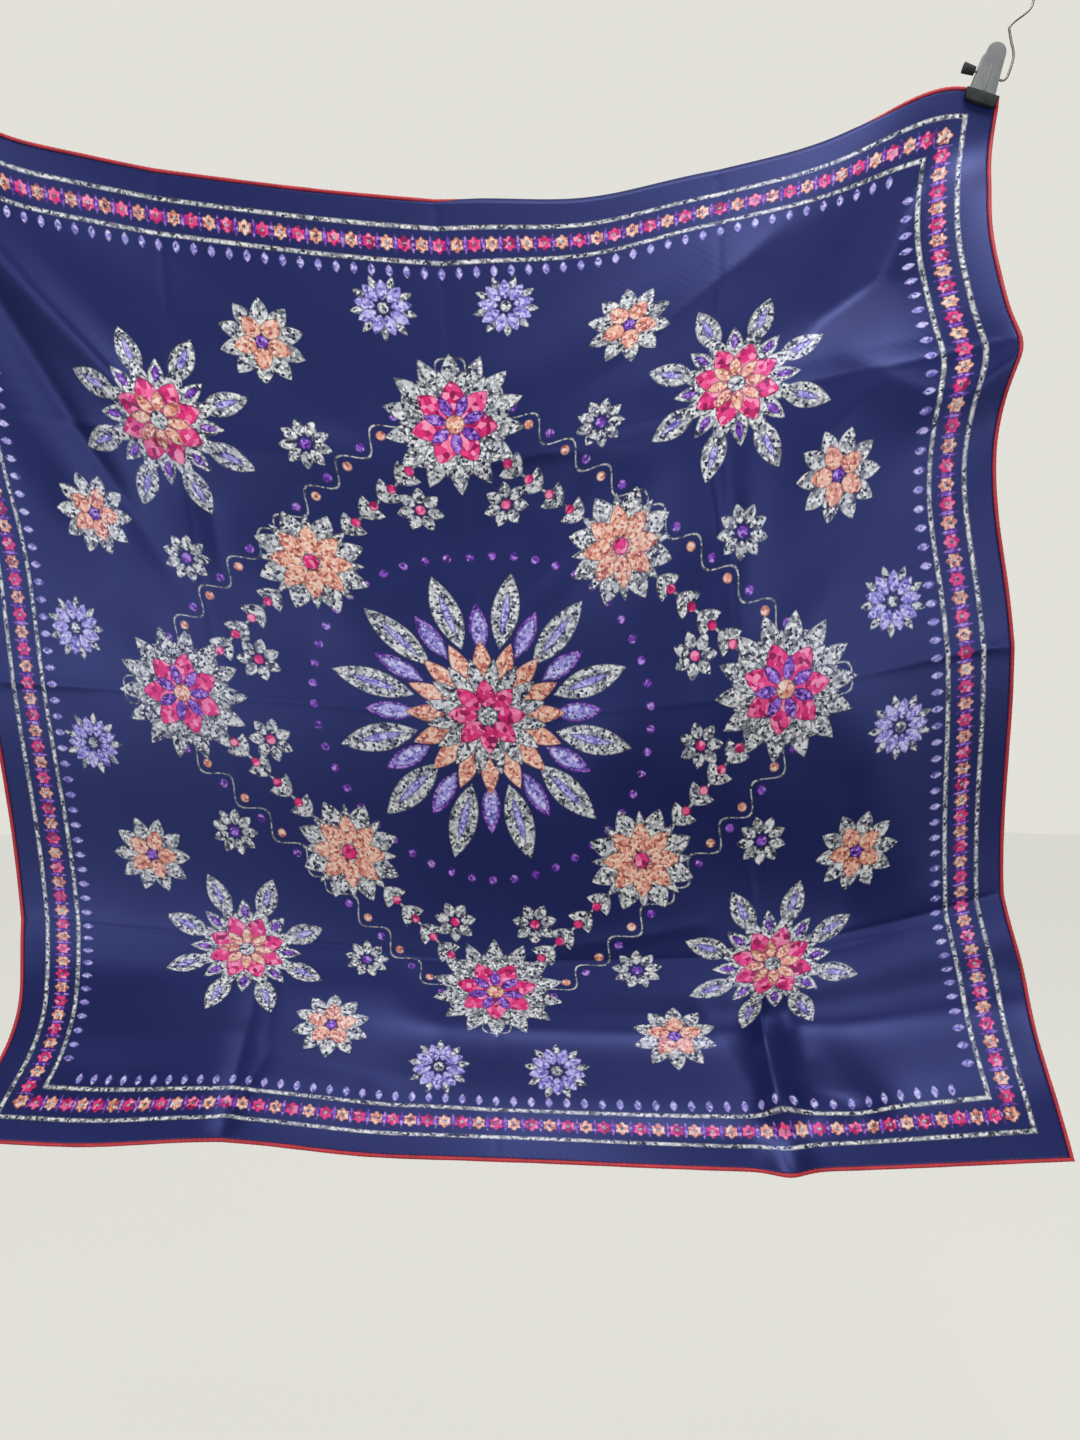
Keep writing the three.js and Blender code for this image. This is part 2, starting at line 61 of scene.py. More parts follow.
# where it is drawn aside in its own plane: s across and t down as shares of the side, then mm
pulls = [
    {"at": "right corner", "s": 0.944, "t": 0, "across": 0.051, "down": 0.07, "dx": 0, "dz": 21.5},
    {"at": "right corner tip", "s": 1, "t": 0, "across": 0.016, "down": 0.02, "dx": 0, "dz": -7},
    {"at": "left corner", "s": 0.055, "t": 0, "across": 0.034, "down": 0.07, "dx": 0, "dz": 20},
    {"at": "top, left strip", "s": 0.065, "t": 0, "across": 0.04, "down": 0.12, "dx": 0, "dz": -6},
    {"at": "top, third strip", "s": 0.635, "t": 0, "across": 0.055, "down": 0.12, "dx": 0, "dz": -9.5},
    {"at": "right, first strip", "s": 1, "t": 0.135, "across": 0.1, "down": 0.062, "dx": -14, "dz": 0},
    {"at": "right, fold point", "s": 1, "t": 0.255, "across": 0.08, "down": 0.018, "dx": 6, "dz": 0},
    {"at": "right, second strip", "s": 1, "t": 0.365, "across": 0.1, "down": 0.065, "dx": -14.5, "dz": 0},
    {"at": "left, second strip", "s": 0, "t": 0.38, "across": 0.1, "down": 0.06, "dx": 8, "dz": 0},
    {"at": "left, last strip", "s": 0, "t": 0.885, "across": 0.1, "down": 0.055, "dx": 17, "dz": 0},
    {"at": "right, last strip", "s": 1, "t": 0.845, "across": 0.08, "down": 0.038, "dx": 9.5, "dz": 0},
    {"at": "bottom, first strip", "s": 0.125, "t": 1, "across": 0.06, "down": 0.08, "dx": 0, "dz": -5},
    {"at": "bottom, second strip", "s": 0.38, "t": 1, "across": 0.06, "down": 0.08, "dx": 0, "dz": -4},
]

# soft ridges (rise above 0) and troughs (below 0), from one end of a run to the other, in mm
folds = [
    {"at": "left corner ridge", "s": (0.05, 0.22), "t": (0.07, 0.225), "width": 17, "rise": (3, 7)},
    {"at": "left corner trough", "s": (0.03, 0.14), "t": (0.13, 0.31), "width": 26, "rise": (-5, -8)},
    {"at": "left corner sag", "s": (0.1, 0.4), "t": (0.04, 0.2), "width": 26, "rise": (-3, -5)},
    {"at": "right corner valley", "s": (0.95, 0.885), "t": (0.06, 0.15), "width": 38, "rise": (-9, -8)},
    {"at": "lower corner valley", "s": (0.885, 0.7), "t": (0.15, 0.25), "width": 38, "rise": (-9, -6)},
    {"at": "right corner ridge", "s": (0.74, 0.56), "t": (0.11, 0.19), "width": 30, "rise": (2, 5)},
    {"at": "right edge swell", "s": (1.02, 1.02), "t": (0.08, 0.25), "width": 45, "rise": (5, 12)},
    {"at": "right edge trough", "s": (1, 0.84), "t": (0.32, 0.42), "width": 22, "rise": (-7, -1)},
    {"at": "right second ridge", "s": (0.95, 0.76), "t": (0.34, 0.5), "width": 18, "rise": (1, 4)},
    {"at": "upper fold roll", "s": (0.24, 0.7), "t": (0.242, 0.238), "width": 12, "rise": (1.5, 2)},
    {"at": "under the fold", "s": (0.22, 0.6), "t": (0.31, 0.31), "width": 26, "rise": (-4, -7)},
    {"at": "middle ridge", "s": (0.47, 0.68), "t": (0.49, 0.3), "width": 16, "rise": (3, 2)},
    {"at": "middle trough", "s": (0.57, 0.72), "t": (0.5, 0.36), "width": 30, "rise": (-7, -3)},
    {"at": "third upright ridge", "s": (0.77, 0.752), "t": (0.27, 0.43), "width": 15, "rise": (3, 3)},
    {"at": "left of the middle", "s": (0.2, 0.33), "t": (0.44, 0.44), "width": 26, "rise": (-3, -3)},
    {"at": "waist trough", "s": (0.54, 0.84), "t": (0.53, 0.73), "width": 34, "rise": (-4, -3)},
    {"at": "waist ridge", "s": (0.84, 0.92), "t": (0.52, 0.72), "width": 28, "rise": (3, 4)},
    {"at": "lower left sag", "s": (0.04, 0.4), "t": (0.79, 0.79), "width": 18, "rise": (-3, -3)},
    {"at": "lower left dip", "s": (0.05, 0.36), "t": (0.92, 0.93), "width": 17, "rise": (-4, -3)},
    {"at": "lower middle roll", "s": (0.5, 0.7), "t": (0.93, 0.955), "width": 18, "rise": (2, 4)},
    {"at": "flap valley", "s": (0.752, 0.757), "t": (0.74, 0.93), "width": 11, "rise": (0, -20)},
    {"at": "flap valley lip", "s": (0.79, 0.82), "t": (0.88, 0.93), "width": 16, "rise": (5, 9)},
    {"at": "second flap valley", "s": (0.25, 0.25), "t": (0.8, 0.98), "width": 8, "rise": (-1, -3)},
    {"at": "flap hollow", "s": (-0.1, 1.1), "t": (0.82, 0.87), "width": 36, "rise": (-8, -13)},
    {"at": "flap hollow, right", "s": (0.45, 0.98), "t": (0.865, 0.85), "width": 34, "rise": (-11, -15)},
    {"at": "flap ridge", "s": (0.75, 0.75), "t": (0.97, 1), "width": 12, "rise": (6, 12)},
]

# the pressed lines left by folding it away, sharper and shallower than the folds
creases = [
    {"s": (0.02, 0.98), "t": (0.25, 0.25), "width": 2.4, "rise": (0.45, 0.4)},
    {"s": (0.02, 0.98), "t": (0.5, 0.5), "width": 2.2, "rise": (0.4, 0.5)},
    {"s": (0.02, 0.98), "t": (0.75, 0.75), "width": 2.4, "rise": (-0.5, -0.5)},
    {"s": (0.25, 0.25), "t": (0.01, 0.25), "width": 2.2, "rise": (0.3, 0.35)},
    {"s": (0.25, 0.25), "t": (0.25, 0.5), "width": 2.2, "rise": (-0.25, -0.3)},
    {"s": (0.25, 0.25), "t": (0.5, 0.75), "width": 2.2, "rise": (0.25, 0.2)},
    {"s": (0.25, 0.25), "t": (0.75, 0.99), "width": 2.4, "rise": (-0.4, -0.5)},
    {"s": (0.5, 0.5), "t": (0.01, 0.25), "width": 2.2, "rise": (-0.3, -0.2)},
    {"s": (0.5, 0.5), "t": (0.25, 0.5), "width": 2.4, "rise": (0.25, 0.3)},
    {"s": (0.5, 0.5), "t": (0.5, 0.99), "width": 2.2, "rise": (-0.25, -0.25)},
    {"s": (0.75, 0.75), "t": (0.01, 0.25), "width": 2.2, "rise": (-0.25, -0.3)},
    {"s": (0.75, 0.75), "t": (0.25, 0.5), "width": 2.2, "rise": (-0.25, -0.25)},
    {"s": (0.75, 0.75), "t": (0.5, 0.75), "width": 2.2, "rise": (0.25, 0.3)},
    {"s": (0.75, 0.755), "t": (0.75, 0.94), "width": 2.6, "rise": (-0.9, -1.3)},
]

# wrinkles with a sharp crest or bottom, each run along two or more places
wrinkles = [
    {"at": "right corner", "s": (0.965, 0.944, 0.91, 0.85, 0.8), "t": (0.03, 0.08, 0.155, 0.185, 0.235),
     "width": 20, "rise": (-2, -7, -8, -6, -1)},
    {"at": "beside the corner", "s": (0.62, 0.69, 0.76, 0.82), "t": (0.2, 0.17, 0.12, 0.07),
     "width": 14, "rise": (1, 3.5, 3.5, 0)},
    {"at": "under the corner", "s": (0.85, 0.875, 0.902, 0.938, 0.972, 1),
     "t": (0.22, 0.242, 0.268, 0.287, 0.282, 0.262), "width": 22, "rise": (0, 3, 6, 8, 8, 8)},
    {"at": "right corner pleat", "s": (0.8, 0.864, 0.93), "t": (0.23, 0.225, 0.229), "width": 5,
     "rise": (0.4, 0.7, 0.2)},
    {"at": "right of the third fold", "s": (0.89, 0.838, 0.82), "t": (0.26, 0.302, 0.34), "width": 10,
     "rise": (1, 2.5, 0.5)},
    {"at": "along the third fold", "s": (0.735, 0.742, 0.757), "t": (0.29, 0.36, 0.42), "width": 8,
     "rise": (-1, -2.4, -0.5)},
    {"at": "left corner crevice", "s": (0.05, 0.089, 0.142, 0.187, 0.24),
     "t": (0.09, 0.158, 0.247, 0.324, 0.42), "width": 15, "rise": (-1, -4, -5, -3, 0)},
    {"at": "left corner crest", "s": (0.07, 0.129, 0.2, 0.23), "t": (0.085, 0.142, 0.204, 0.25),
     "width": 10, "rise": (1, 3, 3, 0)},
    {"at": "upper fold, left", "s": (0.1, 0.15, 0.25), "t": (0.249, 0.249, 0.252), "width": 5,
     "rise": (0.3, 1.2, 0.6)},
    {"at": "upper fold", "s": (0.27, 0.4, 0.49), "t": (0.25, 0.252, 0.25), "width": 6,
     "rise": (0.3, 1, 0.6)},
    {"at": "upper fold, right", "s": (0.51, 0.578, 0.667, 0.72), "t": (0.25, 0.252, 0.267, 0.28),
     "width": 6,
     "rise": (1.2, 2.4, 1.6, 0.3)},
    {"at": "over the middle", "s": (0.51, 0.56, 0.62), "t": (0.385, 0.368, 0.335), "width": 8,
     "rise": (-1, -2.5, -0.6)},
    {"at": "left hollow", "s": (0.268, 0.27), "t": (0.31, 0.37), "width": 11, "rise": (-2.5, -1)},
    {"at": "middle fold, left", "s": (0.005, 0.06, 0.12), "t": (0.5, 0.5, 0.5), "width": 4.5,
     "rise": (1, 1, 0.3)},
    {"at": "middle fold, right", "s": (0.88, 0.94, 0.995), "t": (0.495, 0.497, 0.502), "width": 5,
     "rise": (0.4, 1.3, 1.6)},
    {"at": "lower fold, left", "s": (0.01, 0.12, 0.27), "t": (0.75, 0.749, 0.75), "width": 7,
     "rise": (1.4, 2.2, 1.4)},
    {"at": "lower fold, middle", "s": (0.29, 0.42, 0.54), "t": (0.752, 0.757, 0.745), "width": 9,
     "rise": (1, 2.2, 1.4)},
    {"at": "lower fold, inner", "s": (0.57, 0.63, 0.7), "t": (0.733, 0.724, 0.713), "width": 6,
     "rise": (0.8, 2, 0.8)},
    {"at": "lower fold, right", "s": (0.78, 0.85, 0.94, 0.99), "t": (0.755, 0.758, 0.76, 0.753),
     "width": 6,
     "rise": (-1, -2, -1.2, -0.6)},
    {"at": "third fold, lower", "s": (0.75, 0.753, 0.757), "t": (0.56, 0.61, 0.68), "width": 4,
     "rise": (-0.5, -1.1, -0.4)},
    {"at": "right strip", "s": (0.846, 0.842), "t": (0.6, 0.73), "width": 13, "rise": (-2, -2)},
    {"at": "flap band, left", "s": (0.07, 0.16, 0.26), "t": (0.876, 0.874, 0.874), "width": 10,
     "rise": (1, 2.4, 2)},
    {"at": "flap band", "s": (0.28, 0.38, 0.48), "t": (0.895, 0.905, 0.91), "width": 11,
     "rise": (0.8, 1.4, 0.6)},
    {"at": "first fold, lower", "s": (0.262, 0.272), "t": (0.79, 0.878), "width": 4,
     "rise": (-0.5, -1.1)},
    {"at": "first fold, last", "s": (0.277, 0.264, 0.252), "t": (0.893, 0.94, 0.995), "width": 4,
     "rise": (-1, -1.6, -1)},
    {"at": "flap valley", "s": (0.756, 0.752, 0.749), "t": (0.78, 0.86, 0.93), "width": 8,
     "rise": (-0.5, -3, -5)},
    {"at": "left of the valley", "s": (0.687, 0.715, 0.738), "t": (0.8, 0.87, 0.92), "width": 13,
     "rise": (0.5, 3, 3)},
    {"at": "right of the valley", "s": (0.767, 0.793, 0.84), "t": (0.913, 0.918, 0.925), "width": 9,
     "rise": (3, 3.4, 1)},
    {"at": "valley hollow", "s": (0.765, 0.79), "t": (0.88, 0.888), "width": 9, "rise": (-2.5, -2.5)},
    {"at": "last fold", "s": (0.744, 0.752), "t": (0.962, 0.992), "width": 4, "rise": (-0.8, -1.4)},
]

cloth = {
    "side": 900,         # the cut square over its hems, in mm
    "thick": 0.4,
    "cells": 55,         # across each quarter strip
    "crowd": 0.45,       # how much closer the cells lie beside a fold line
    "blunt": 2.5,        # mm over which a wrinkle's crest is rounded
    "roundness": 0.5,    # of the strips between fold lines
    "jawReach": 32,      # flat this far from a held corner, and free from jawFade on
    "jawFade": 95,
    "inset": 2.7,        # where the sheet ends, inside its rolled hems
}


def along(values, place):
    cell = np.clip(np.floor(place), 0, 3).astype(int)
    f = place - cell
    pick = lambda i: np.take_along_axis(values, np.clip(i, 0, 4)[None], 0)[0]
    a, b = pick(cell), pick(cell + 1)
    before = np.where(cell > 0, pick(cell - 1), 2 * a - b)
    after = np.where(cell < 3, pick(cell + 2), 2 * b - a)
    bend = f * (1 - f) * ((1 - f) * (2 * a - before - b) + f * (2 * b - a - after)) / 2
    return a + (b - a) * f + bend * cloth["roundness"]


def fromLines(key, s, t):
    rows = []
    for line in foldLines:
        values = np.array(line[key], float)
        rows.append(along(np.broadcast_to(values[:, None], (5, s.size)), s * 4))
    return along(np.stack(rows), t * 4)


def bell(distance, width):
    return np.exp(-0.5 * (distance / width) ** 2)


def peak(distance, width):
    blunt = cloth["blunt"]
    return np.exp((blunt - np.hypot(distance, blunt)) / width)


# how far the folds of a table raise each place, by the shape of their section
def foldRise(s, t, table, section):
    place = np.stack([s, t], -1) * cloth["side"]
    rise = np.zeros_like(s)
    for fold in table:
        ends = np.stack([fold["s"], fold["t"]], -1) * cloth["side"]
        nearest, height = np.full_like(s, np.inf), np.zeros_like(s)
        for start, end, low, high in zip(ends, ends[1:], fold["rise"], fold["rise"][1:]):
            run = end - start
            share = np.clip((place - start) @ run / (run @ run), 0, 1)
            distance = np.linalg.norm(place - start - share[:, None] * run, axis=-1)
            height = np.where(distance < nearest, low + (high - low) * share, height)
            nearest = np.minimum(nearest, distance)
        rise += section(nearest, fold["width"]) * height
    return rise


def freedom(s, t):
    down = t * cloth["side"]
    near = np.minimum(np.hypot(s * cloth["side"], down), np.hypot((1 - s) * cloth["side"], down))
    f = np.clip((near - cloth["jawReach"]) / (cloth["jawFade"] - cloth["jawReach"]), 0, 1)
    return f * f * (3 - 2 * f)


# a place on the sheet, s across and t down, in mm from the middle of the view
def clothPoints(s, t):
    s, t = np.broadcast_arrays(np.asarray(s, float), np.asarray(t, float))
    shape = s.shape
    s, t = s.ravel(), t.ravel()
    x, z = fromLines("x", s, t), fromLines("z", s, t)
    for pull in pulls:
        share = bell(s - pull["s"], pull["across"]) * bell(t - pull["t"], pull["down"])
        x = x + share * pull["dx"]
        z = z + share * pull["dz"]
    rise = foldRise(s, t, folds, bell) + foldRise(s, t, creases, bell) + foldRise(s, t, wrinkles, peak)
    y = (fromLines("depth", s, t) - rise) * freedom(s, t)
    return np.stack([x, y, z], -1).reshape(*shape, 3)


# where the clips sit and how they are made, in mm. each has x along its jaw, y through the
# cloth and z up the clip, all from its pivot
clip = {
    "lean": math.radians(18),
    "padIn": 15.6,            # the pad's middle, in from the corner and down from the top edge
    "padDown": 8.6,
    "pivotUp": 20.8,          # from the pad's middle to the wire that is the pivot
    "padDepth": 4.6,
    "padInner": 1.8,
    "padStations": [(-4.8, 22.4), (1.8, 26.4), (4.8, 26.4)],    # height from its middle, and width
    "teeth": [-3.6, -2, -0.4, 1.2],
    "toothReach": 1.45,
    "plate": 1.8,
    "leverFoot": [            # height, how far out the inner face is, and width
        (-15.7, 3.2, 20), (-8, 3.5, 18.8), (0, 3.8, 17.5), (5, 4.5, 16.7), (10, 5.25, 15.9),
        (15.3, 6, 15),
    ],
    "leverTop": (22.8, 7.1),
    "spine": [(-15.2, 4.7, 2.6), (-8, 5, 2.5), (0, 5.3, 2.2), (5.5, 5.95, 1.4)],
    "spineProud": 0.95,
    "earRadius": 3.6,
    "earThick": 1.4,
    "earPlaces": {"front": 6, "back": 4},    # from the middle of the clip
    "bore": 1.3,
    "coilRadius": 2.15,
    "coilWire": 0.42,
    "coilHalf": 2.5,
    "coilTurns": 5,
    "coilLeg": (4.3, 7.5),
    "capInner": 10.6,
    "capLength": 9.7,
    "capNarrow": 3.5,
    "capWide": 4.4,
}

# the hanging wires, in mm from the pivot: through the clip, then outward and up to the hook
hook = {
    "radius": 1,
    "sides": 16,
    "start": -18.3,
    "route": [
        (12, -4), (15, -2), (17, 2), (19.2, 8.5), (20.6, 14.5), (20.4, 20), (19, 26), (17.7, 33.5),
        (17.4, 37.5), (19.8, 41), (31.5, 50.2), (35, 54.5), (36.5, 60), (37, 70),
    ],
    "round": 9,               # radius of the hook's middle line
    "turn": math.pi * 1.15,
}

hem = {
    "radius": 1.5, "inset": 1.5, "sides": 12, "cells": 392, "nip": 0.09, "gap": 0.06,
    "turned": [(0.47, 0), (0.54, 1), (0.87, 1), (0.92, 0)],    # where the top hem lies behind its edge
    "turnedBack": 1.9,
}
stitch = {"every": 2, "inner": 3.9, "outer": 2.1, "slant": 1.3, "radius": 0.17, "sides": 5}


def pivotPlace(outward):
    inward = clip["padIn"] / cloth["side"]
    spot = clothPoints(1 - inward if outward > 0 else inward, clip["padDown"] / cloth["side"])
    up = Vector((outward * math.sin(clip["lean"]), 0, math.cos(clip["lean"])))
    return Vector((spot[0], 0, spot[2])) + up * clip["pivotUp"]


# the middle of the view, found from the spring that sits on the right clip's pivot
springLow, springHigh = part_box("clip_right_spring")
middle = (springLow + springHigh) / 2 - pivotPlace(1) * mm
print("middle of the view at", [round(v, 4) for v in middle])


def select(*picked):
    for other in bpy.context.selected_objects:
        other.select_set(False)
    for piece in picked:
        piece.select_set(True)
    bpy.context.view_layer.objects.active = picked[0] if picked else None


def applied(piece, kind, **settings):
    select(piece)
    modifier = piece.modifiers.new(kind.lower(), kind)
    for key, value in settings.items():
        setattr(modifier, key, value)
    bpy.ops.object.modifier_apply(modifier=modifier.name)
    return piece


def meshPiece(name, points, faces):
    mesh = bpy.data.meshes.new(name)
    mesh.from_pydata(np.asarray(points, float).reshape(-1, 3).tolist(), [], faces)
    mesh.polygons.foreach_set("use_smooth", [True] * len(mesh.polygons))
    mesh.update()
    piece = bpy.data.objects.new(name, mesh)
    scene.collection.objects.link(piece)
    return piece


def finished(piece, slot, material, *nodes):
    piece.data.materials.clear()
    piece.data.materials.append(material)
    if nodes:
        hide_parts(*nodes)
    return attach(piece, "root")


def unit(vectors):
    return vectors / np.linalg.norm(vectors, axis=-1, keepdims=True)


def hung(points):
    return np.asarray(points) * mm + np.array(middle)


# rings round a row of centres, in mm. sideways crossed with upward points along the row
def tubeRings(centres, sideways, upward, radii, sides):
    angle = 2 * np.pi * np.arange(sides) / sides
    circle = np.cos(angle)[:, None] * sideways[:, None] + np.sin(angle)[:, None] * upward[:, None]
    return centres[:, None] + circle * np.broadcast_to(radii, len(centres)).reshape(-1, 1, 1)


def tubeFaces(count, sides, first=0):
    faces = []
    for i in range(count - 1):
        for k in range(sides):
            a = first + i * sides + k
            b = first + i * sides + (k + 1) % sides
            faces.append((a, b, b + sides, a + sides))
    faces.append(tuple(first + k for k in reversed(range(sides))))
    faces.append(tuple(first + (count - 1) * sides + k for k in range(sides)))
    return faces


def lineTube(name, points, radii, sides, sideways):
    run = unit(np.gradient(points, axis=0))
    frames = []
    last = np.asarray(sideways, float)
    for direction in run:
        last = unit(last - direction * (last @ direction))
        frames.append(last)
    frames = np.array(frames)
    rings = tubeRings(points, frames, np.cross(run, frames), radii, sides)
    return meshPiece(name, rings * mm, tubeFaces(len(points), sides))


# a curve through all the points, with steps in each span
def smoothLine(points, steps):
    points = np.asarray(points, float)
    padded = np.concatenate([[2 * points[0] - points[1]], points, [2 * points[-1] - points[-2]]])
    spans = np.sqrt(np.linalg.norm(np.diff(padded, axis=0), axis=1))
    knots = np.concatenate([[0], np.cumsum(spans)])
    line = []
    for i in range(1, len(padded) - 2):
        k, p = knots[i - 1:i + 3], padded[i - 1:i + 3]
        for f in np.linspace(0, 1, steps, endpoint=False):
            x = k[1] + (k[2] - k[1]) * f
            a = [(p[j] * (k[j + 1] - x) + p[j + 1] * (x - k[j])) / (k[j + 1] - k[j]) for j in range(3)]
            b = [(a[j] * (k[j + 2] - x) + a[j + 1] * (x - k[j])) / (k[j + 2] - k[j]) for j in range(2)]
            line.append((b[0] * (k[2] - x) + b[1] * (x - k[1])) / (k[2] - k[1]))
    line.append(points[-1])
    return np.array(line)


def rgb(red, green, blue):
    linear = [((v / 255 + 0.055) / 1.055) ** 2.4 if v > 10 else v / 255 / 12.92 for v in (red, green, blue)]
    return (*linear, 1)


def newNode(tree, kind, settings=None, **inputs):
    node = tree.nodes.new("ShaderNode" + kind)
    for key, value in (settings or {}).items():
        setattr(node, key, value)
    for key, value in inputs.items():
        socket = node.inputs[key.replace("_", " ")]
        if isinstance(value, bpy.types.NodeSocket):
            tree.links.new(value, socket)
        else:
            socket.default_value = value
    return node


def ramp(tree, value, *stops):
    node = newNode(tree, "ValToRGB", Fac=value)
    steps = node.color_ramp.elements
    while len(steps) < len(stops):
        steps.new(0.5)
    for step, (place, colour) in zip(steps, stops):
        step.position = place
        step.color = colour
    return node.outputs["Color"]


def bumped(tree, shader, strength, distance, height):
    bump = newNode(tree, "Bump", Strength=strength, Distance=distance, Height=height)
    tree.links.new(bump.outputs["Normal"], shader.inputs["Normal"])


def newMaterial(name):
    material = bpy.data.materials.new(name)
    material.use_nodes = True
    return material, material.node_tree, material.node_tree.nodes["Principled BSDF"]


def objectSpace(tree):
    return newNode(tree, "TexCoord").outputs["Object"]


# the red silk of the rolled hems and of the thread that sews them
def redSilk(name, bright):
    material, tree, shader = newMaterial(name)
    place = objectSpace(tree)
    uneven = newNode(tree, "TexNoise", Vector=place, Scale=60, Detail=3)
    fibre = newNode(tree, "TexNoise", Vector=place, Scale=900, Detail=2)
    tone = ramp(tree, uneven.outputs["Fac"], (0.3, rgb(172 * bright, 30 * bright, 46 * bright)),
                (0.7, rgb(206 * bright, 48 * bright, 62 * bright)))
    tree.links.new(tone, shader.inputs["Base Color"])
    shader.inputs["Roughness"].default_value = 0.5
    shader.inputs["Sheen Weight"].default_value = 0.2
    bumped(tree, shader, 0.5, 0.0002, fibre.outputs["Fac"])
    return material


def greyPlastic():
    material, tree, shader = newMaterial("grey plastic")
    place = objectSpace(tree)
    grain = newNode(tree, "TexNoise", Vector=place, Scale=1600, Detail=3)
    flow = newNode(tree, "TexNoise", Vector=place, Scale=90, Detail=4)
    tone = ramp(tree, flow.outputs["Fac"], (0.3, rgb(118, 121, 123)), (0.7, rgb(133, 136, 138)))
    gloss = ramp(tree, flow.outputs["Fac"], (0.3, (0.42,) * 3 + (1,)), (0.75, (0.56,) * 3 + (1,)))
    tree.links.new(tone, shader.inputs["Base Color"])
    tree.links.new(gloss, shader.inputs["Roughness"])
    bumped(tree, shader, 0.35, 0.0001, grain.outputs["Fac"])
    return material


def blackRubber():
    material, tree, shader = newMaterial("black rubber")
    place = objectSpace(tree)
    grain = newNode(tree, "TexNoise", Vector=place, Scale=1200, Detail=4)
    bloom = newNode(tree, "TexNoise", Vector=place, Scale=150, Detail=4)
    tone = ramp(tree, bloom.outputs["Fac"], (0.35, rgb(34, 38, 38)), (0.7, rgb(52, 57, 56)))
    tree.links.new(tone, shader.inputs["Base Color"])
    shader.inputs["Roughness"].default_value = 0.74
    shader.inputs["Specular IOR Level"].default_value = 0.35
    bumped(tree, shader, 0.4, 0.0002, grain.outputs["Fac"])
    return material


def steelWire():
    material, tree, shader = newMaterial("steel wire")
    place = objectSpace(tree)
    drawn = newNode(tree, "TexNoise", Vector=place, Scale=3000, Detail=2)
    age = newNode(tree, "TexNoise", Vector=place, Scale=60, Detail=3)
    tone = ramp(tree, age.outputs["Fac"], (0.3, rgb(128, 124, 114)), (0.7, rgb(160, 157, 148)))
    gloss = ramp(tree, age.outputs["Fac"], (0.3, (0.34,) * 3 + (1,)), (0.7, (0.46,) * 3 + (1,)))
    tree.links.new(tone, shader.inputs["Base Color"])
    tree.links.new(gloss, shader.inputs["Roughness"])
    shader.inputs["Metallic"].default_value = 1
    bumped(tree, shader, 0.15, 0.00004, drawn.outputs["Fac"])
    return material


# the print, drawn flat in mm from the middle of the square
inks = {
    "navy": rgb(25, 31, 82),
    "silver": [rgb(38, 40, 50), rgb(128, 131, 135), rgb(196, 199, 200), rgb(244, 244, 242)],
    "pink": [rgb(150, 12, 70), rgb(226, 36, 112), rgb(240, 70, 136), rgb(255, 158, 190)],
    "peach": [rgb(170, 84, 66), rgb(226, 146, 118), rgb(243, 186, 158), rgb(252, 226, 206)],
    "lilac": [rgb(92, 84, 168), rgb(146, 136, 216), rgb(178, 170, 236), rgb(222, 218, 250)],
    "violet": [rgb(60, 20, 110), rgb(108, 48, 168), rgb(140, 80, 200), rgb(196, 160, 236)],
}
facet = {"fine": 2.3, "broad": 4.6, "edge": 0.4, "rim": 1.5, "rimTone": 0.22}

# flowers, in mm from the middle. all have their mirror images in the other seven eighths
# of the square. rings of petals are listed from the back: count, from, to, half width, turn, ink
flowers = [
    {"at": (0, 0), "heart": (9, "silver"), "rings": [
        (12, 62, 132, 12.5, 0.5, "silver"), (12, 74, 116, 3.6, 0.5, "lilac"),
        (12, 58, 104, 8.6, 0, "violet"), (12, 60, 98, 6.6, 0, "lilac"), (16, 20, 70, 8.6, 0, "peach"),
        (16, 16, 53, 6.6, 0.5, "silver"), (8, 7, 34, 8.2, 0, "pink")]},
    {"at": (131, 131), "heart": (7, "pink"), "rings": [
        (8, 10, 48, 10.6, 0.5, "silver"), (8, 12, 44, 5, 0, "silver"), (8, 6, 34, 8.6, 0, "peach")]},
    {"at": (262, 0), "heart": (8, "peach"), "rings": [
        (14, 16, 60, 9, 0, "silver"), (14, 14, 46, 6, 0.5, "silver"), (7, 7, 37, 10.4, 0, "pink"),
        (7, 6, 26, 5, 0.5, "violet")]},
    {"at": (238, 238), "heart": (7.5, "silver"), "rings": [
        (8, 36, 80, 10.6, 0.5, "silver"), (8, 45, 71, 3.2, 0.5, "lilac"), (16, 16, 53, 7.6, 0, "silver"),
        (8, 32, 47, 3.4, 0, "violet"), (8, 7, 37, 10.2, 0.5, "pink"), (8, 6, 25, 5.4, 0, "peach")]},
    {"at": (318, 150), "heart": (5.4, "violet"), "rings": [
        (10, 10, 36, 7.6, 0, "silver"), (5, 4, 24, 8.2, 0.5, "peach")]},
    {"at": (356, 50), "heart": (5, "silver"), "rings": [
        (9, 12, 28, 3.6, 0.5, "silver"), (9, 6, 24, 5.4, 0, "lilac")]},
    {"at": (188, 36), "heart": (4.6, "pink"), "rings": [(7, 5, 20, 5.6, 0, "silver")]},
    {"at": (236, 122), "heart": (5, "violet"), "rings": [(9, 6, 22, 5.2, 0.5, "silver")]},
]

# the frieze round the border, then the garland, the scroll and the ring of berries within it
border = {"lines": (425, 396), "half": 2.3, "middle": 410.5, "blossoms": 29, "petals": 6.2, "scallop": 387}
garland = {"from": 185.3, "pitch": 23.16, "long": 14, "half": 5.2, "turn": 40, "stem": 1.5, "berry": 4.2}
scroll = {"from": 222, "swing": 8, "wave": 41, "half": 1.3, "berry": 4.2, "ends": 372}
berries = {"from": 146, "count": 48, "radius": 4}


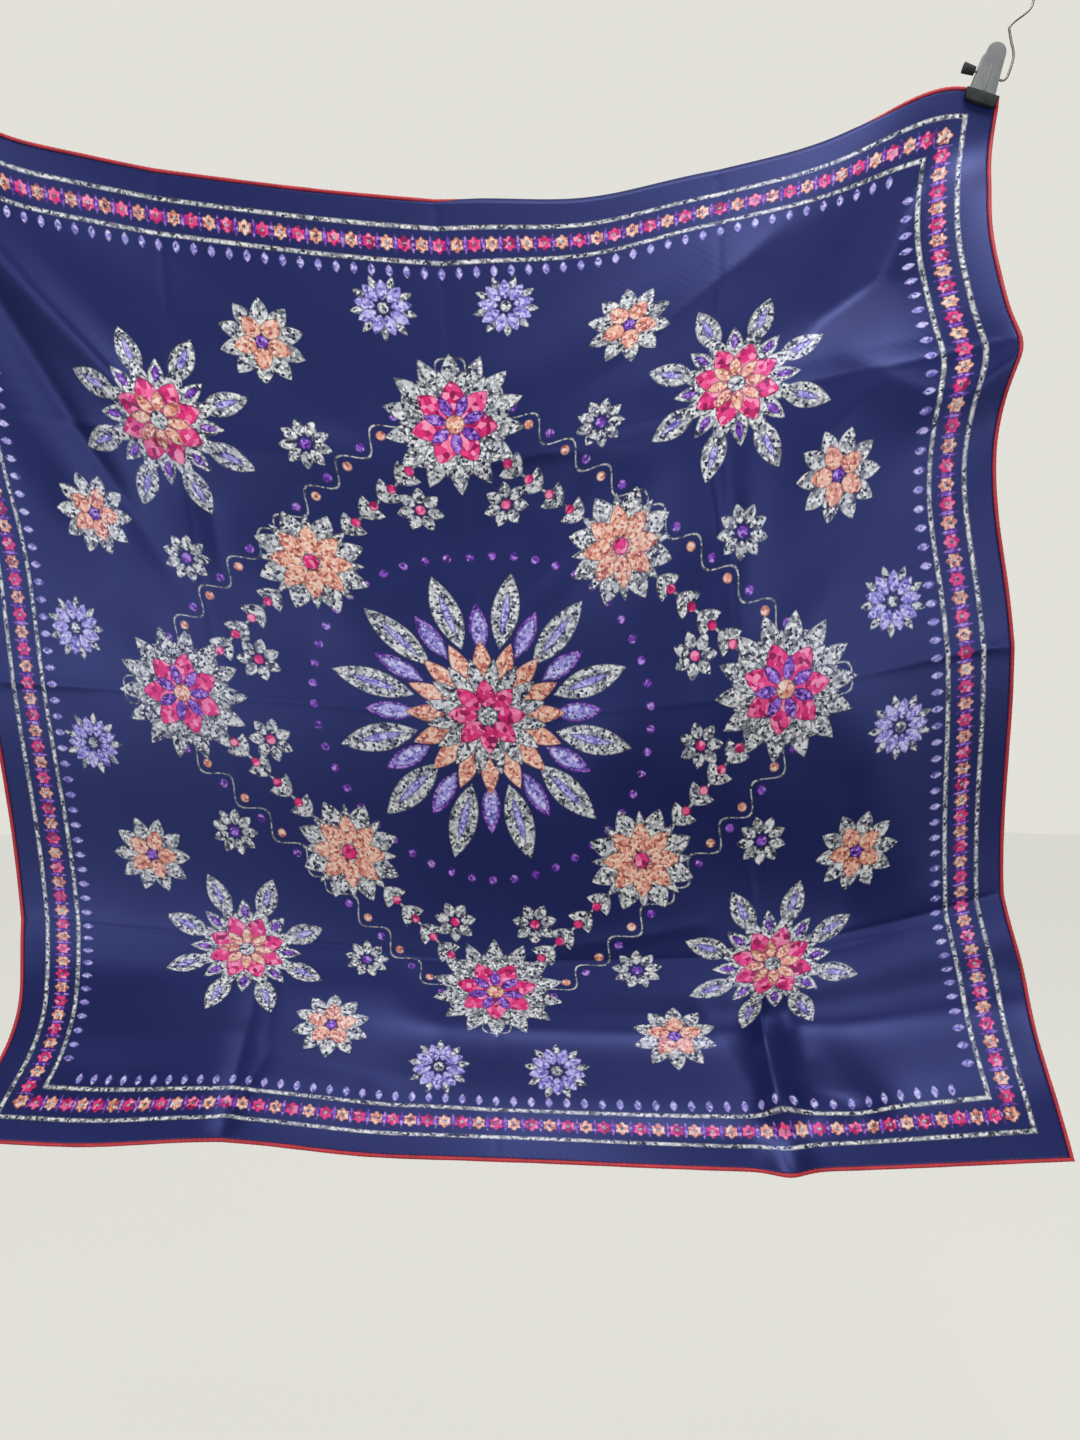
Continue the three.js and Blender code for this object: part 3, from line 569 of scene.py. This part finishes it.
def scarfPrint():
    tree = bpy.data.node_groups.new("flower print", "ShaderNodeTree")
    tree.interface.new_socket(name="Color", in_out="OUTPUT", socket_type="NodeSocketColor")

    def calc(kind, *values, clamp=False):
        node = newNode(tree, "Math", {"operation": kind, "use_clamp": clamp})
        for socket, value in zip(node.inputs, values):
            if isinstance(value, bpy.types.NodeSocket):
                tree.links.new(value, socket)
            else:
                socket.default_value = value
        return node.outputs[0]

    def mix(share, first, second):
        node = newNode(tree, "Mix", {"data_type": "RGBA"})
        for place, value in ((0, share), (6, first), (7, second)):
            if isinstance(value, bpy.types.NodeSocket):
                tree.links.new(value, node.inputs[place])
            else:
                node.inputs[place].default_value = value
        return node.outputs[2]

    # the fields below are in mm, and above 0 inside the shape
    def leafField(u, v, long, half):
        taper = calc("MULTIPLY_ADD", calc("MULTIPLY", u, u), -half / long ** 2, half)
        return calc("SUBTRACT", taper, calc("ABSOLUTE", v))

    def inCell(place, pitch, turn=0.5):
        share = calc("FRACT", calc("MULTIPLY_ADD", place, 1 / pitch, turn))
        return calc("MULTIPLY_ADD", share, pitch, -pitch / 2)

    def discField(u, v, radius):
        reach = calc("SQRT", calc("MULTIPLY_ADD", u, u, calc("MULTIPLY", v, v)))
        return calc("SUBTRACT", radius, reach)

    def painted(colour, field, ink):
        rim = tuple(c * facet["rimTone"] for c in inks[ink][1][:3]) + (1,)
        toned = mix(calc("MULTIPLY", field, 1 / facet["rim"], clamp=True), rim, shades[ink])
        return mix(calc("MULTIPLY_ADD", field, 1 / facet["edge"], 0.5, clamp=True), colour, toned)

    flat = newNode(tree, "UVMap", {"uv_map": "flat"}).outputs["UV"]
    spot = newNode(tree, "VectorMath", {"operation": "MULTIPLY_ADD"})
    tree.links.new(flat, spot.inputs[0])
    spot.inputs[1].default_value = (cloth["side"], cloth["side"], 0)
    spot.inputs[2].default_value = (-cloth["side"] / 2, -cloth["side"] / 2, 0)
    spot = spot.outputs["Vector"]
    parts = newNode(tree, "SeparateXYZ", Vector=spot)
    x = calc("ABSOLUTE", parts.outputs["X"])
    y = calc("ABSOLUTE", parts.outputs["Y"])
    a = calc("MAXIMUM", x, y)
    b = calc("MINIMUM", x, y)
    folded = newNode(tree, "CombineXYZ", X=a, Y=b).outputs["Vector"]
    fine = newNode(tree, "TexVoronoi", Vector=spot, Scale=1 / facet["fine"])
    broad = newNode(tree, "TexVoronoi", Vector=spot, Scale=1 / facet["broad"])
    fineTone = newNode(tree, "SeparateColor", Color=fine.outputs["Color"]).outputs["Red"]
    broadTone = newNode(tree, "SeparateColor", Color=broad.outputs["Color"]).outputs["Red"]
    shades = {}
    for ink, tone in (("silver", fineTone), ("pink", broadTone), ("peach", fineTone),
                      ("lilac", fineTone), ("violet", fineTone)):
        stops = zip((0.08, 0.3, 0.6, 0.95), inks[ink])
        shades[ink] = ramp(tree, tone, *stops)
    cloud = newNode(tree, "TexNoise", Vector=spot, Scale=0.018, Detail=2)
    ground = mix(cloud.outputs["Fac"], tuple(c * 0.9 for c in inks["navy"][:3]) + (1,),
                 tuple(c * 1.1 for c in inks["navy"][:3]) + (1,))
    colour = ground

    for line in border["lines"]:
        off = calc("ABSOLUTE", calc("SUBTRACT", a, line))
        colour = painted(colour, calc("SUBTRACT", border["half"], off), "silver")
    pitch = border["middle"] / border["blossoms"]
    across = calc("SUBTRACT", a, border["middle"])
    for turn, ink in ((0.5, "pink"), (0, "peach")):
        v = inCell(b, 2 * pitch, turn)
        reach = calc("SQRT", calc("MULTIPLY_ADD", v, v, calc("MULTIPLY", across, across)))
        angle = calc("ARCTAN2", v, across)
        lobes = calc("MULTIPLY_ADD", calc("COSINE", calc("MULTIPLY", angle, 6)), 0.9, border["petals"])
        field = calc("SUBTRACT", lobes, reach)
        colour = painted(colour, field, ink)
        colour = painted(colour, calc("SUBTRACT", field, border["petals"] - 1.7), "silver")
    for row, ink, turn, long, half, ends in ((border["middle"], "violet", 0, 8.8, 2.4, 404),
                                             (border["scallop"], "lilac", 0.5, 5.6, 3.2, 375)):
        leaf = leafField(calc("SUBTRACT", a, row), inCell(b, pitch, turn), long, half)
        colour = painted(colour, calc("MINIMUM", leaf, calc("SUBTRACT", ends, b)), ink)

    along = calc("MULTIPLY", calc("SUBTRACT", a, b), math.sqrt(0.5))
    beyond = calc("MULTIPLY_ADD", calc("ADD", a, b), math.sqrt(0.5), -garland["from"])
    across = calc("ABSOLUTE", beyond)
    v = inCell(along, garland["pitch"])
    turn = math.radians(garland["turn"])
    start = -garland["long"] * 0.45
    u = calc("MULTIPLY_ADD", v, math.cos(turn), calc("MULTIPLY_ADD", across, math.sin(turn), start))
    w = calc("MULTIPLY_ADD", v, -math.sin(turn), calc("MULTIPLY", across, math.cos(turn)))
    within = calc("SUBTRACT", garland["from"], along)
    leaves = calc("MINIMUM", leafField(u, w, garland["long"], garland["half"]), within)
    colour = painted(colour, calc("MINIMUM", calc("SUBTRACT", garland["stem"], across), within), "silver")
    colour = painted(colour, leaves, "silver")
    v = inCell(along, garland["pitch"], 0)
    colour = painted(colour, calc("MINIMUM", discField(v, across, garland["berry"]), within), "pink")

    swing = calc("SINE", calc("MULTIPLY", along, 2 * math.pi / scroll["wave"]))
    out = calc("SUBTRACT", beyond, scroll["from"] - garland["from"])
    off = calc("ABSOLUTE", calc("MULTIPLY_ADD", swing, -scroll["swing"], out))
    inside = calc("SUBTRACT", scroll["ends"], a)
    colour = painted(colour, calc("MINIMUM", calc("SUBTRACT", scroll["half"], off), inside), "silver")
    v = inCell(along, scroll["wave"], 0.25)
    field = discField(v, calc("ADD", out, scroll["swing"] * 0.25), scroll["berry"])
    colour = painted(colour, calc("MINIMUM", field, inside), "peach")
    v = inCell(along, scroll["wave"], 0.75)
    field = discField(v, calc("SUBTRACT", out, scroll["swing"] * 0.25), scroll["berry"])
    colour = painted(colour, calc("MINIMUM", field, inside), "violet")

    for flower in flowers:
        cx, cy = flower["at"]
        away = newNode(tree, "VectorMath", {"operation": "DISTANCE"})
        tree.links.new(folded, away.inputs[0])
        away.inputs[1].default_value = (cx, cy, 0)
        reach = away.outputs["Value"]
        angle = calc("ARCTAN2", calc("SUBTRACT", b, cy), calc("SUBTRACT", a, cx))
        if flower["at"] == (0, 0):
            v = calc("MULTIPLY", inCell(angle, 2 * math.pi / berries["count"]), reach)
            u = calc("SUBTRACT", reach, berries["from"])
            colour = painted(colour, discField(u, v, berries["radius"]), "violet")
        for count, near, far, half, turn, ink in flower["rings"]:
            v = calc("MULTIPLY", inCell(angle, 2 * math.pi / count, 0.5 + turn), reach)
            u = calc("SUBTRACT", reach, (near + far) / 2)
            colour = painted(colour, leafField(u, v, (far - near) / 2, half), ink)
        radius, ink = flower["heart"]
        colour = painted(colour, calc("SUBTRACT", radius, reach), ink)
    result = tree.nodes.new("NodeGroupOutput")
    tree.links.new(colour, result.inputs["Color"])
    print("print drawn with", len(tree.nodes), "nodes")
    return tree


silk = {
    "roughness": (0.36, 0.44),
    "lustre": rgb(150, 165, 255),     # what its shine is tinted with
    "shine": 0.8,
    "sheen": 0.1,
    "sheenTint": rgb(150, 160, 235),
    "twill": 0.85,           # mm between its ribs
    "twillDeep": 0.05,
    "backPale": 0.3,         # how far the back is paler than the front
}


def printedSilk(name, drawing, paler):
    material, tree, shader = newMaterial(name)
    drawn = tree.nodes.new("ShaderNodeGroup")
    drawn.node_tree = drawing
    tone = newNode(tree, "Mix", {"data_type": "RGBA"})
    tone.inputs[0].default_value = paler
    tone.inputs[7].default_value = rgb(106, 110, 160)
    tree.links.new(drawn.outputs["Color"], tone.inputs[6])
    tree.links.new(tone.outputs[2], shader.inputs["Base Color"])
    flat = newNode(tree, "UVMap", {"uv_map": "flat"}).outputs["UV"]
    worn = newNode(tree, "TexNoise", Vector=flat, Scale=9, Detail=4)
    low, high = silk["roughness"]
    gloss = ramp(tree, worn.outputs["Fac"], (0.3, (low,) * 3 + (1,)), (0.7, (high,) * 3 + (1,)))
    tree.links.new(gloss, shader.inputs["Roughness"])
    shader.inputs["Specular Tint"].default_value = silk["lustre"]
    shader.inputs["Specular IOR Level"].default_value = silk["shine"]
    shader.inputs["Sheen Weight"].default_value = silk["sheen"]
    shader.inputs["Sheen Roughness"].default_value = 0.4
    shader.inputs["Sheen Tint"].default_value = silk["sheenTint"]
    ribs = newNode(tree, "TexWave", {"bands_direction": "DIAGONAL"}, Vector=flat,
                   Scale=cloth["side"] / silk["twill"] / 20 * math.sqrt(2), Distortion=0.4)
    bumped(tree, shader, 0.35, silk["twillDeep"] * mm, ribs.outputs["Fac"])
    return material


drawing = scarfPrint()
frontSilk = printedSilk("silk front", drawing, 0)
backSilk = printedSilk("silk back", drawing, silk["backPale"])
hemSilk = redSilk("red hem silk", 1)
sewingSilk = redSilk("red sewing silk", 1.12)
plastic = greyPlastic()
rubber = blackRubber()
steel = steelWire()
print("materials ready")


def turnedShare(s):
    places, shares = zip(*hem["turned"])
    return np.interp(s, places, shares)


# the cells of the sheet, closer together beside the fold lines
def stripLines():
    f = np.arange(cloth["cells"]) / cloth["cells"]
    f = f - cloth["crowd"] * np.sin(2 * np.pi * f) / (2 * np.pi)
    inset = cloth["inset"] / cloth["side"]
    first = inset + (0.25 - inset) * f
    last = 0.75 + (0.25 - inset) * f
    return np.concatenate([first, 0.25 + f / 4, 0.5 + f / 4, last, [1 - inset]])


def clothNormals(s, t, step=0.4):
    e = step / cloth["side"]
    across = clothPoints(s + e, t) - clothPoints(s - e, t)
    down = clothPoints(s, t + e) - clothPoints(s, t - e)
    return unit(np.cross(down, across)), unit(across), unit(down)


def silkSquare():
    lines = stripLines()
    s, t = np.meshgrid(lines, lines)
    t[0] -= turnedShare(s[0]) * (cloth["inset"] - 0.2) / cloth["side"]
    points = clothPoints(s, t)
    normals = clothNormals(s, t)[0]
    front = points + normals * cloth["thick"] / 2
    back = points - normals * cloth["thick"] / 2
    n = len(lines)
    number = np.arange(n * n).reshape(n, n)
    a, b, c, d = number[:-1, :-1], number[:-1, 1:], number[1:, 1:], number[1:, :-1]
    frontFaces = np.stack([a, d, c, b], -1).reshape(-1, 4)
    backFaces = np.stack([a, b, c, d], -1).reshape(-1, 4) + n * n
    edgeLoop = np.concatenate([number[0, :-1], number[:-1, -1], number[-1, :0:-1], number[:0:-1, 0]])
    after = np.roll(edgeLoop, -1)
    rim = np.stack([edgeLoop, after, after + n * n, edgeLoop + n * n], -1)
    faces = np.concatenate([frontFaces, backFaces, rim])
    points = hung(np.concatenate([front.reshape(-1, 3), back.reshape(-1, 3)]))
    piece = meshPiece("silk_square_cloth", points, faces.tolist())
    flat = np.tile(np.stack([s, 1 - t], -1).reshape(-1, 2), (2, 1))
    layer = piece.data.uv_layers.new(name="flat")
    corners = np.empty(len(piece.data.loops), int)
    piece.data.loops.foreach_get("vertex_index", corners)
    layer.data.foreach_set("uv", flat[corners].ravel())
    finished(piece, "printed_silk", frontSilk, "silk_square")
    piece.data.materials.append(backSilk)
    which = np.zeros(len(faces), int)
    which[len(frontFaces):len(frontFaces) + len(backFaces)] = 1
    piece.data.polygons.foreach_set("material_index", which)
    return piece


# the rolled edge of one side, with its stitches nipping it in
def hemEdge(side):
    inset = hem["inset"] / cloth["side"]
    gap = hem["gap"] / cloth["side"]
    f = np.linspace(inset, 1 - inset, hem["cells"] + 1)
    if side in ("top", "bottom"):
        s, t = f, np.full_like(f, inset if side == "top" else 1 - inset)
    else:
        s, t = np.full_like(f, inset if side == "left" else 1 - inset), f
    centres = clothPoints(s, t)
    normals, across, down = clothNormals(s, t)
    outward = {"top": -down, "bottom": down, "left": -across, "right": across}[side]
    run = across if side in ("top", "bottom") else down
    order = 1 if np.dot(np.cross(outward[0], normals[0]), run[0]) > 0 else -1
    if side == "top":
        centres = centres - normals * (turnedShare(s) * hem["turnedBack"])[:, None]
    nipped = np.where(np.arange(len(f)) % stitch["every"] == 1, 1 - hem["nip"], 1 + hem["nip"] / 3)
    wobble = 1 + 0.05 * np.sin(np.arange(len(f)) * 0.37) * np.sin(np.arange(len(f)) * 0.113)
    rings = tubeRings(centres, outward, normals * order, hem["radius"] * nipped * wobble, hem["sides"])
    for end, sign in ((0, -1), (-1, 1)):
        reach = np.sum((rings[end] - centres[end]) * outward[end], -1, keepdims=True)
        rings[end] += sign * (reach - hem["gap"]) * run[end]
    piece = meshPiece("hem_" + side + "_roll", hung(rings), tubeFaces(len(f), hem["sides"]))
    finished(piece, "red_hem", hemSilk, "hem_" + side)
    return piece, (centres, outward, normals, run)


# short slanted stitches over the inner side of a hem, on the face of the cloth
def hemStitches(side, frames):
    centres, outward, normals, run = frames
    points, faces = [], []
    for i in range(3, len(centres) - 3, stitch["every"]):
        c, o, n, r = centres[i], outward[i], normals[i], run[i]
        if side == "top" and turnedShare(i / hem["cells"]) > 0.5:
            n = -n
        inner = c - o * (stitch["inner"] - hem["inset"]) + n * 0.3 - r * stitch["slant"] / 2
        top = c - o * 0.9 + n * (hem["radius"] * 0.92) + r * stitch["slant"] * 0.3
        dip = c + o * 0.1 + n * (hem["radius"] * 0.93) + r * stitch["slant"] / 2
        line = np.array([inner, (inner + top) / 2 + n * 0.12, top, dip])
        direction = unit(np.gradient(line, axis=0))
        sideways = unit(np.cross(direction, n))
        rings = tubeRings(line, sideways, np.cross(direction, sideways),
                          stitch["radius"] * np.array([0.7, 1, 1, 0.6]), stitch["sides"])
        faces += tubeFaces(len(line), stitch["sides"], len(points) * rings.shape[0] * stitch["sides"])
        points.append(rings)
    piece = meshPiece("hem_" + side + "_stitches", hung(np.concatenate(points)), faces)
    return finished(piece, "red_hem", sewingSilk)


square = silkSquare()
print("cloth made with", len(square.data.polygons), "faces")
hemPieces = []
for side in ("top", "right", "bottom", "left"):
    roll, frames = hemEdge(side)
    hemPieces += [roll, hemStitches(side, frames)]
print("hems rolled and sewn")


def added(name, kind, **settings):
    select()
    getattr(bpy.ops.mesh, "primitive_" + kind + "_add")(**settings)
    piece = bpy.context.object
    piece.name = name
    bpy.ops.object.transform_apply(location=True, rotation=True, scale=True)
    return piece


def bar(name, low, high):
    low, high = Vector(low) * mm, Vector(high) * mm
    return added(name, "cube", size=1, location=(low + high) / 2, scale=high - low)


def rod(name, radius, x0, x1, sides=32):
    return added(name, "cylinder", radius=radius * mm, depth=(x1 - x0) * mm, vertices=sides,
                 location=((x0 + x1) / 2 * mm, 0, 0), rotation=(0, math.pi / 2, 0))


# a cube whose top face is drawn up through stations of height, inner face and width
def drawnUp(name, stations, thick):
    z0, out0, w0 = stations[0]
    z1, out1, w1 = stations[1]
    piece = bar(name, (-w0 / 2, out0, z0), (w0 / 2, out0 + thick, z1))
    bpy.ops.object.mode_set(mode="EDIT")
    bpy.context.tool_settings.mesh_select_mode = (False, False, True)
    bpy.ops.mesh.select_all(action="DESELECT")
    shape = bmesh.from_edit_mesh(piece.data)
    for face in shape.faces:
        face.select_set(face.normal.z > 0.9)
    bmesh.update_edit_mesh(piece.data)
    bpy.ops.transform.translate(value=(0, (out1 - out0) * mm, 0))
    bpy.ops.transform.resize(value=(w1 / w0, 1, 1), center_override=(0, out1 * mm, z1 * mm))
    for (za, outA, wa), (zb, outB, wb) in zip(stations[1:], stations[2:]):
        lift = {"value": (0, (outB - outA) * mm, (zb - za) * mm)}
        bpy.ops.mesh.extrude_region_move(TRANSFORM_OT_translate=lift)
        bpy.ops.transform.resize(value=(wb / wa, 1, 1), center_override=(0, outB * mm, zb * mm))
    bpy.ops.mesh.select_all(action="SELECT")
    bpy.ops.mesh.normals_make_consistent(inside=False)
    bpy.ops.object.mode_set(mode="OBJECT")
    return piece


def cut(piece, other, operation):
    applied(piece, "BOOLEAN", operation=operation, object=other, solver="EXACT")
    bpy.data.objects.remove(other)
    return piece


def rounded(piece, width, segments=2, angle=32):
    applied(piece, "BEVEL", width=width * mm, segments=segments, limit_method="ANGLE",
            angle_limit=math.radians(angle), harden_normals=False)
    select(piece)
    bpy.ops.object.shade_smooth_by_angle(angle=math.radians(40))
    return piece


def clipLever(which):
    top, outTop = clip["leverTop"]
    shoulder, outShoulder, half = clip["leverFoot"][-1]
    half = half / 2
    stations = list(clip["leverFoot"])
    for degrees in (15, 30, 44, 57, 68, 77, 84):
        rise, width = math.sin(math.radians(degrees)), 2 * half * math.cos(math.radians(degrees))
        stations.append((shoulder + half * rise, outShoulder + (outTop - outShoulder) * rise, width))
    lever = rounded(drawnUp("lever", stations, clip["plate"]), 0.55, 3, 50)
    cut(lever, rounded(drawnUp("spine", clip["spine"], clip["spineProud"]), 0.35, 2), "UNION")
    place = clip["earPlaces"][which]
    for x in (-place, place):
        x0, x1 = x - clip["earThick"] / 2, x + clip["earThick"] / 2
        cut(lever, rod("ear", clip["earRadius"], x0, x1), "UNION")
        arm = bar("arm", (x0, 0, -clip["earRadius"]), (x1, 4.2, clip["earRadius"]))
        cut(lever, arm, "UNION")
    cut(lever, rod("bore", clip["bore"], -12, 12), "DIFFERENCE")
    select(lever)
    bpy.ops.object.shade_smooth_by_angle(angle=math.radians(36))
    return lever


def clipPad():
    down = -clip["pivotUp"]
    stations = [(down + z, clip["padInner"], width) for z, width in clip["padStations"]]
    pad = rounded(drawnUp("pad", stations, clip["padDepth"]), 0.7, 3)
    for z in clip["teeth"]:
        half = 11 if z > 0 else 9.6
        y0 = clip["padInner"] - clip["toothReach"]
        tooth = bar("tooth", (-half, y0, down + z - 0.5), (half, clip["padInner"] + 0.5, down + z + 0.5))
        cut(pad, rounded(tooth, 0.3), "UNION")
    return pad


def clipCap():
    inner, length = clip["capInner"], clip["capLength"]
    cap = added("cap", "cone", radius1=clip["capWide"] * mm, radius2=clip["capNarrow"] * mm,
                depth=length * mm, vertices=40, location=(-(inner + length / 2) * mm, 0, 0),
                rotation=(0, math.pi / 2, 0))
    bpy.ops.object.mode_set(mode="EDIT")
    bpy.context.tool_settings.mesh_select_mode = (False, False, True)
    bpy.ops.mesh.select_all(action="DESELECT")
    shape = bmesh.from_edit_mesh(cap.data)
    for face in shape.faces:
        face.select_set(face.normal.x < -0.9)
    bmesh.update_edit_mesh(cap.data)
    bpy.ops.mesh.inset(thickness=1.1 * mm)
    bpy.ops.transform.translate(value=(0.7 * mm, 0, 0))
    bpy.ops.object.mode_set(mode="OBJECT")
    cut(cap, rod("bore", clip["bore"], -inner - length + 1.7, -inner + 2), "DIFFERENCE")
    return rounded(cap, 0.4, 3)


def clipSpring():
    radius, half, turns = clip["coilRadius"], clip["coilHalf"], clip["coilTurns"]
    angle = np.linspace(0, 2 * np.pi * turns + np.pi, turns * 18 + 9)
    x = np.linspace(-half + clip["coilWire"], half - clip["coilWire"], len(angle))
    coil = np.stack([x, -radius * np.cos(angle), -radius * np.sin(angle)], -1)
    outY, outZ = clip["coilLeg"]
    first = [(x[0], -outY, outZ), (x[0], -(outY + radius) / 2, outZ * 0.5), (x[0], -radius - 0.15, 1.2)]
    last = [(x[-1], radius + 0.15, 1.2), (x[-1], (outY + radius) / 2, outZ * 0.5), (x[-1], outY, outZ)]
    line = np.concatenate([first, coil, last])
    return lineTube("spring", line, clip["coilWire"], 8, (1, 0, 0))


def hookWire():
    lean = np.array([math.cos(clip["lean"]), 0, -math.sin(clip["lean"])])
    line = [lean * x for x in (hook["start"], hook["start"] / 2, 0, 6)]
    line += [np.array([x, 0, z]) for x, z in hook["route"]]
    shankX, shankZ = hook["route"][-1]
    for i in range(1, 9):
        angle = math.pi - hook["turn"] * i / 8
        line.append(np.array([shankX + hook["round"] * (1 + math.cos(angle)), 0,
                              shankZ + hook["round"] * math.sin(angle)]))
    line = smoothLine(line, 8)
    tip = unit(line[-1] - line[-2])
    radii = np.full(len(line), float(hook["radius"]))
    for reach, share in ((0.45, 0.9), (0.8, 0.62), (0.98, 0.25)):     # the rounded end
        line = np.concatenate([line, [line[len(radii) - 1] + tip * reach * hook["radius"]]])
        radii = np.append(radii, hook["radius"] * share)
    return lineTube("wire", line, radii, hook["sides"], (0, 1, 0))


def mirroredOver(piece, **axes):
    scale = [-1 if axes.get(key) else 1 for key in "xyz"]
    piece.data.transform(Matrix.Diagonal((*scale, 1)))
    piece.data.flip_normals()
    return piece


def clipSide(side, outward):
    pivot = Matrix.Translation(pivotPlace(outward) * mm + middle)
    leaned = pivot @ Matrix.Rotation(outward * clip["lean"], 4, "Y")
    parts = [
        ("front_lever", mirroredOver(clipLever("front"), y=True), "grey_plastic", plastic, leaned),
        ("back_lever", clipLever("back"), "grey_plastic", plastic, leaned),
        ("front_pad", mirroredOver(clipPad(), y=True), "black_rubber", rubber, leaned),
        ("back_pad", clipPad(), "black_rubber", rubber, leaned),
        ("spring", clipSpring(), "steel_wire", steel, leaned),
        ("wire_cap", clipCap(), "black_rubber", rubber, leaned),
        ("wire_hook", hookWire(), "steel_wire", steel, pivot),
    ]
    for name, piece, slot, look, place in parts:
        if outward < 0 and name in ("wire_cap", "wire_hook"):
            mirroredOver(piece, x=True)
        piece.data.transform(place)
        node = f"wire_hook_{side}" if name == "wire_hook" else f"clip_{side}_{name}"
        piece.name = node + "_made"
        piece.data.name = piece.name
        finished(piece, slot, look, node)


clipSide("right", 1)
clipSide("left", -1)
print("clips and wire hooks made")


# the studio, in m
studio = {
    "cameraAway": 1.0,
    "lens": 36 * 1267 / 1440,
    "floor": -0.66,          # below the middle of the view
    "floorRound": 7,
    "wall": (0.765, 0.755, 0.7),
    "ambient": 0.14,
    "lights": [              # place from the middle, width and height, watts, colour
        ((0.2, -0.7, 2.1), (2, 2), 19, (1, 0.99, 0.97)),
        ((0.3, -0.75, 1.4), (0.6, 0.6), 8, (1, 0.98, 0.95)),
        ((-1.35, -1.6, 0.2), (0.9, 2.2), 14, (0.96, 0.98, 1)),
        ((0.6, -1.9, 0.1), (0.7, 1.4), 8, (1, 0.99, 0.97)),
        ((-0.9, -1.3, -0.55), (0.9, 0.4), 3, (1, 0.99, 0.97)),
        ((0.95, -1.3, -0.5), (0.8, 0.4), 3.5, (1, 0.99, 0.97)),
        ((0.2, 1.3, 1.8), (1.6, 1.6), 18, (1, 1, 1)),
    ],
}


def paleFloor():
    floor = added("floor", "circle", radius=studio["floorRound"], vertices=96, fill_type="NGON",
                  location=middle + Vector((0, 0, studio["floor"])))
    material, tree, shader = newMaterial("pale floor")
    haze = newNode(tree, "TexNoise", Vector=objectSpace(tree), Scale=0.8, Detail=3)
    tone = ramp(tree, haze.outputs["Fac"], (0.3, (0.12, 0.12, 0.115, 1)), (0.7, (0.15, 0.15, 0.14, 1)))
    tree.links.new(tone, shader.inputs["Base Color"])
    shader.inputs["Roughness"].default_value = 0.8
    shader.inputs["Specular IOR Level"].default_value = 0.1
    shader.inputs["Emission Color"].default_value = (*studio["wall"], 1)
    shader.inputs["Emission Strength"].default_value = 0.885
    floor.data.materials.append(material)
    floor.visible_diffuse = floor.visible_glossy = False     # it throws no light up at the cloth


def studioLights():
    for place, size, watts, colour in studio["lights"]:
        lamp = bpy.data.lights.new("soft light", "AREA")
        lamp.shape = "RECTANGLE"
        lamp.size, lamp.size_y = size
        lamp.energy, lamp.color = watts, colour
        light = bpy.data.objects.new("soft light", lamp)
        scene.collection.objects.link(light)
        light.location = middle + Vector(place)
        light.rotation_euler = (middle - light.location).to_track_quat("-Z", "Y").to_euler()
    world = bpy.data.worlds.new("pale room")
    world.use_nodes = True
    scene.world = world
    tree = world.node_tree
    sky = tree.nodes["Background"]
    sky.inputs["Color"].default_value = (*studio["wall"], 1)
    dim = newNode(tree, "Background", Color=(*studio["wall"], 1), Strength=studio["ambient"])
    seen = newNode(tree, "LightPath").outputs["Is Camera Ray"]
    join = tree.nodes.new("ShaderNodeMixShader")
    tree.links.new(seen, join.inputs[0])
    tree.links.new(dim.outputs[0], join.inputs[1])
    tree.links.new(sky.outputs[0], join.inputs[2])
    tree.links.new(join.outputs[0], tree.nodes["World Output"].inputs["Surface"])


def studioCamera():
    lens = bpy.data.cameras.new("camera")
    lens.sensor_fit = "AUTO"
    lens.sensor_width = 36
    lens.lens = studio["lens"]
    camera = bpy.data.objects.new("camera", lens)
    scene.collection.objects.link(camera)
    camera.location = middle + Vector((0, -studio["cameraAway"], 0))
    camera.rotation_euler = (math.pi / 2, 0, 0)
    scene.camera = camera


paleFloor()
studioLights()
studioCamera()
print("studio ready")
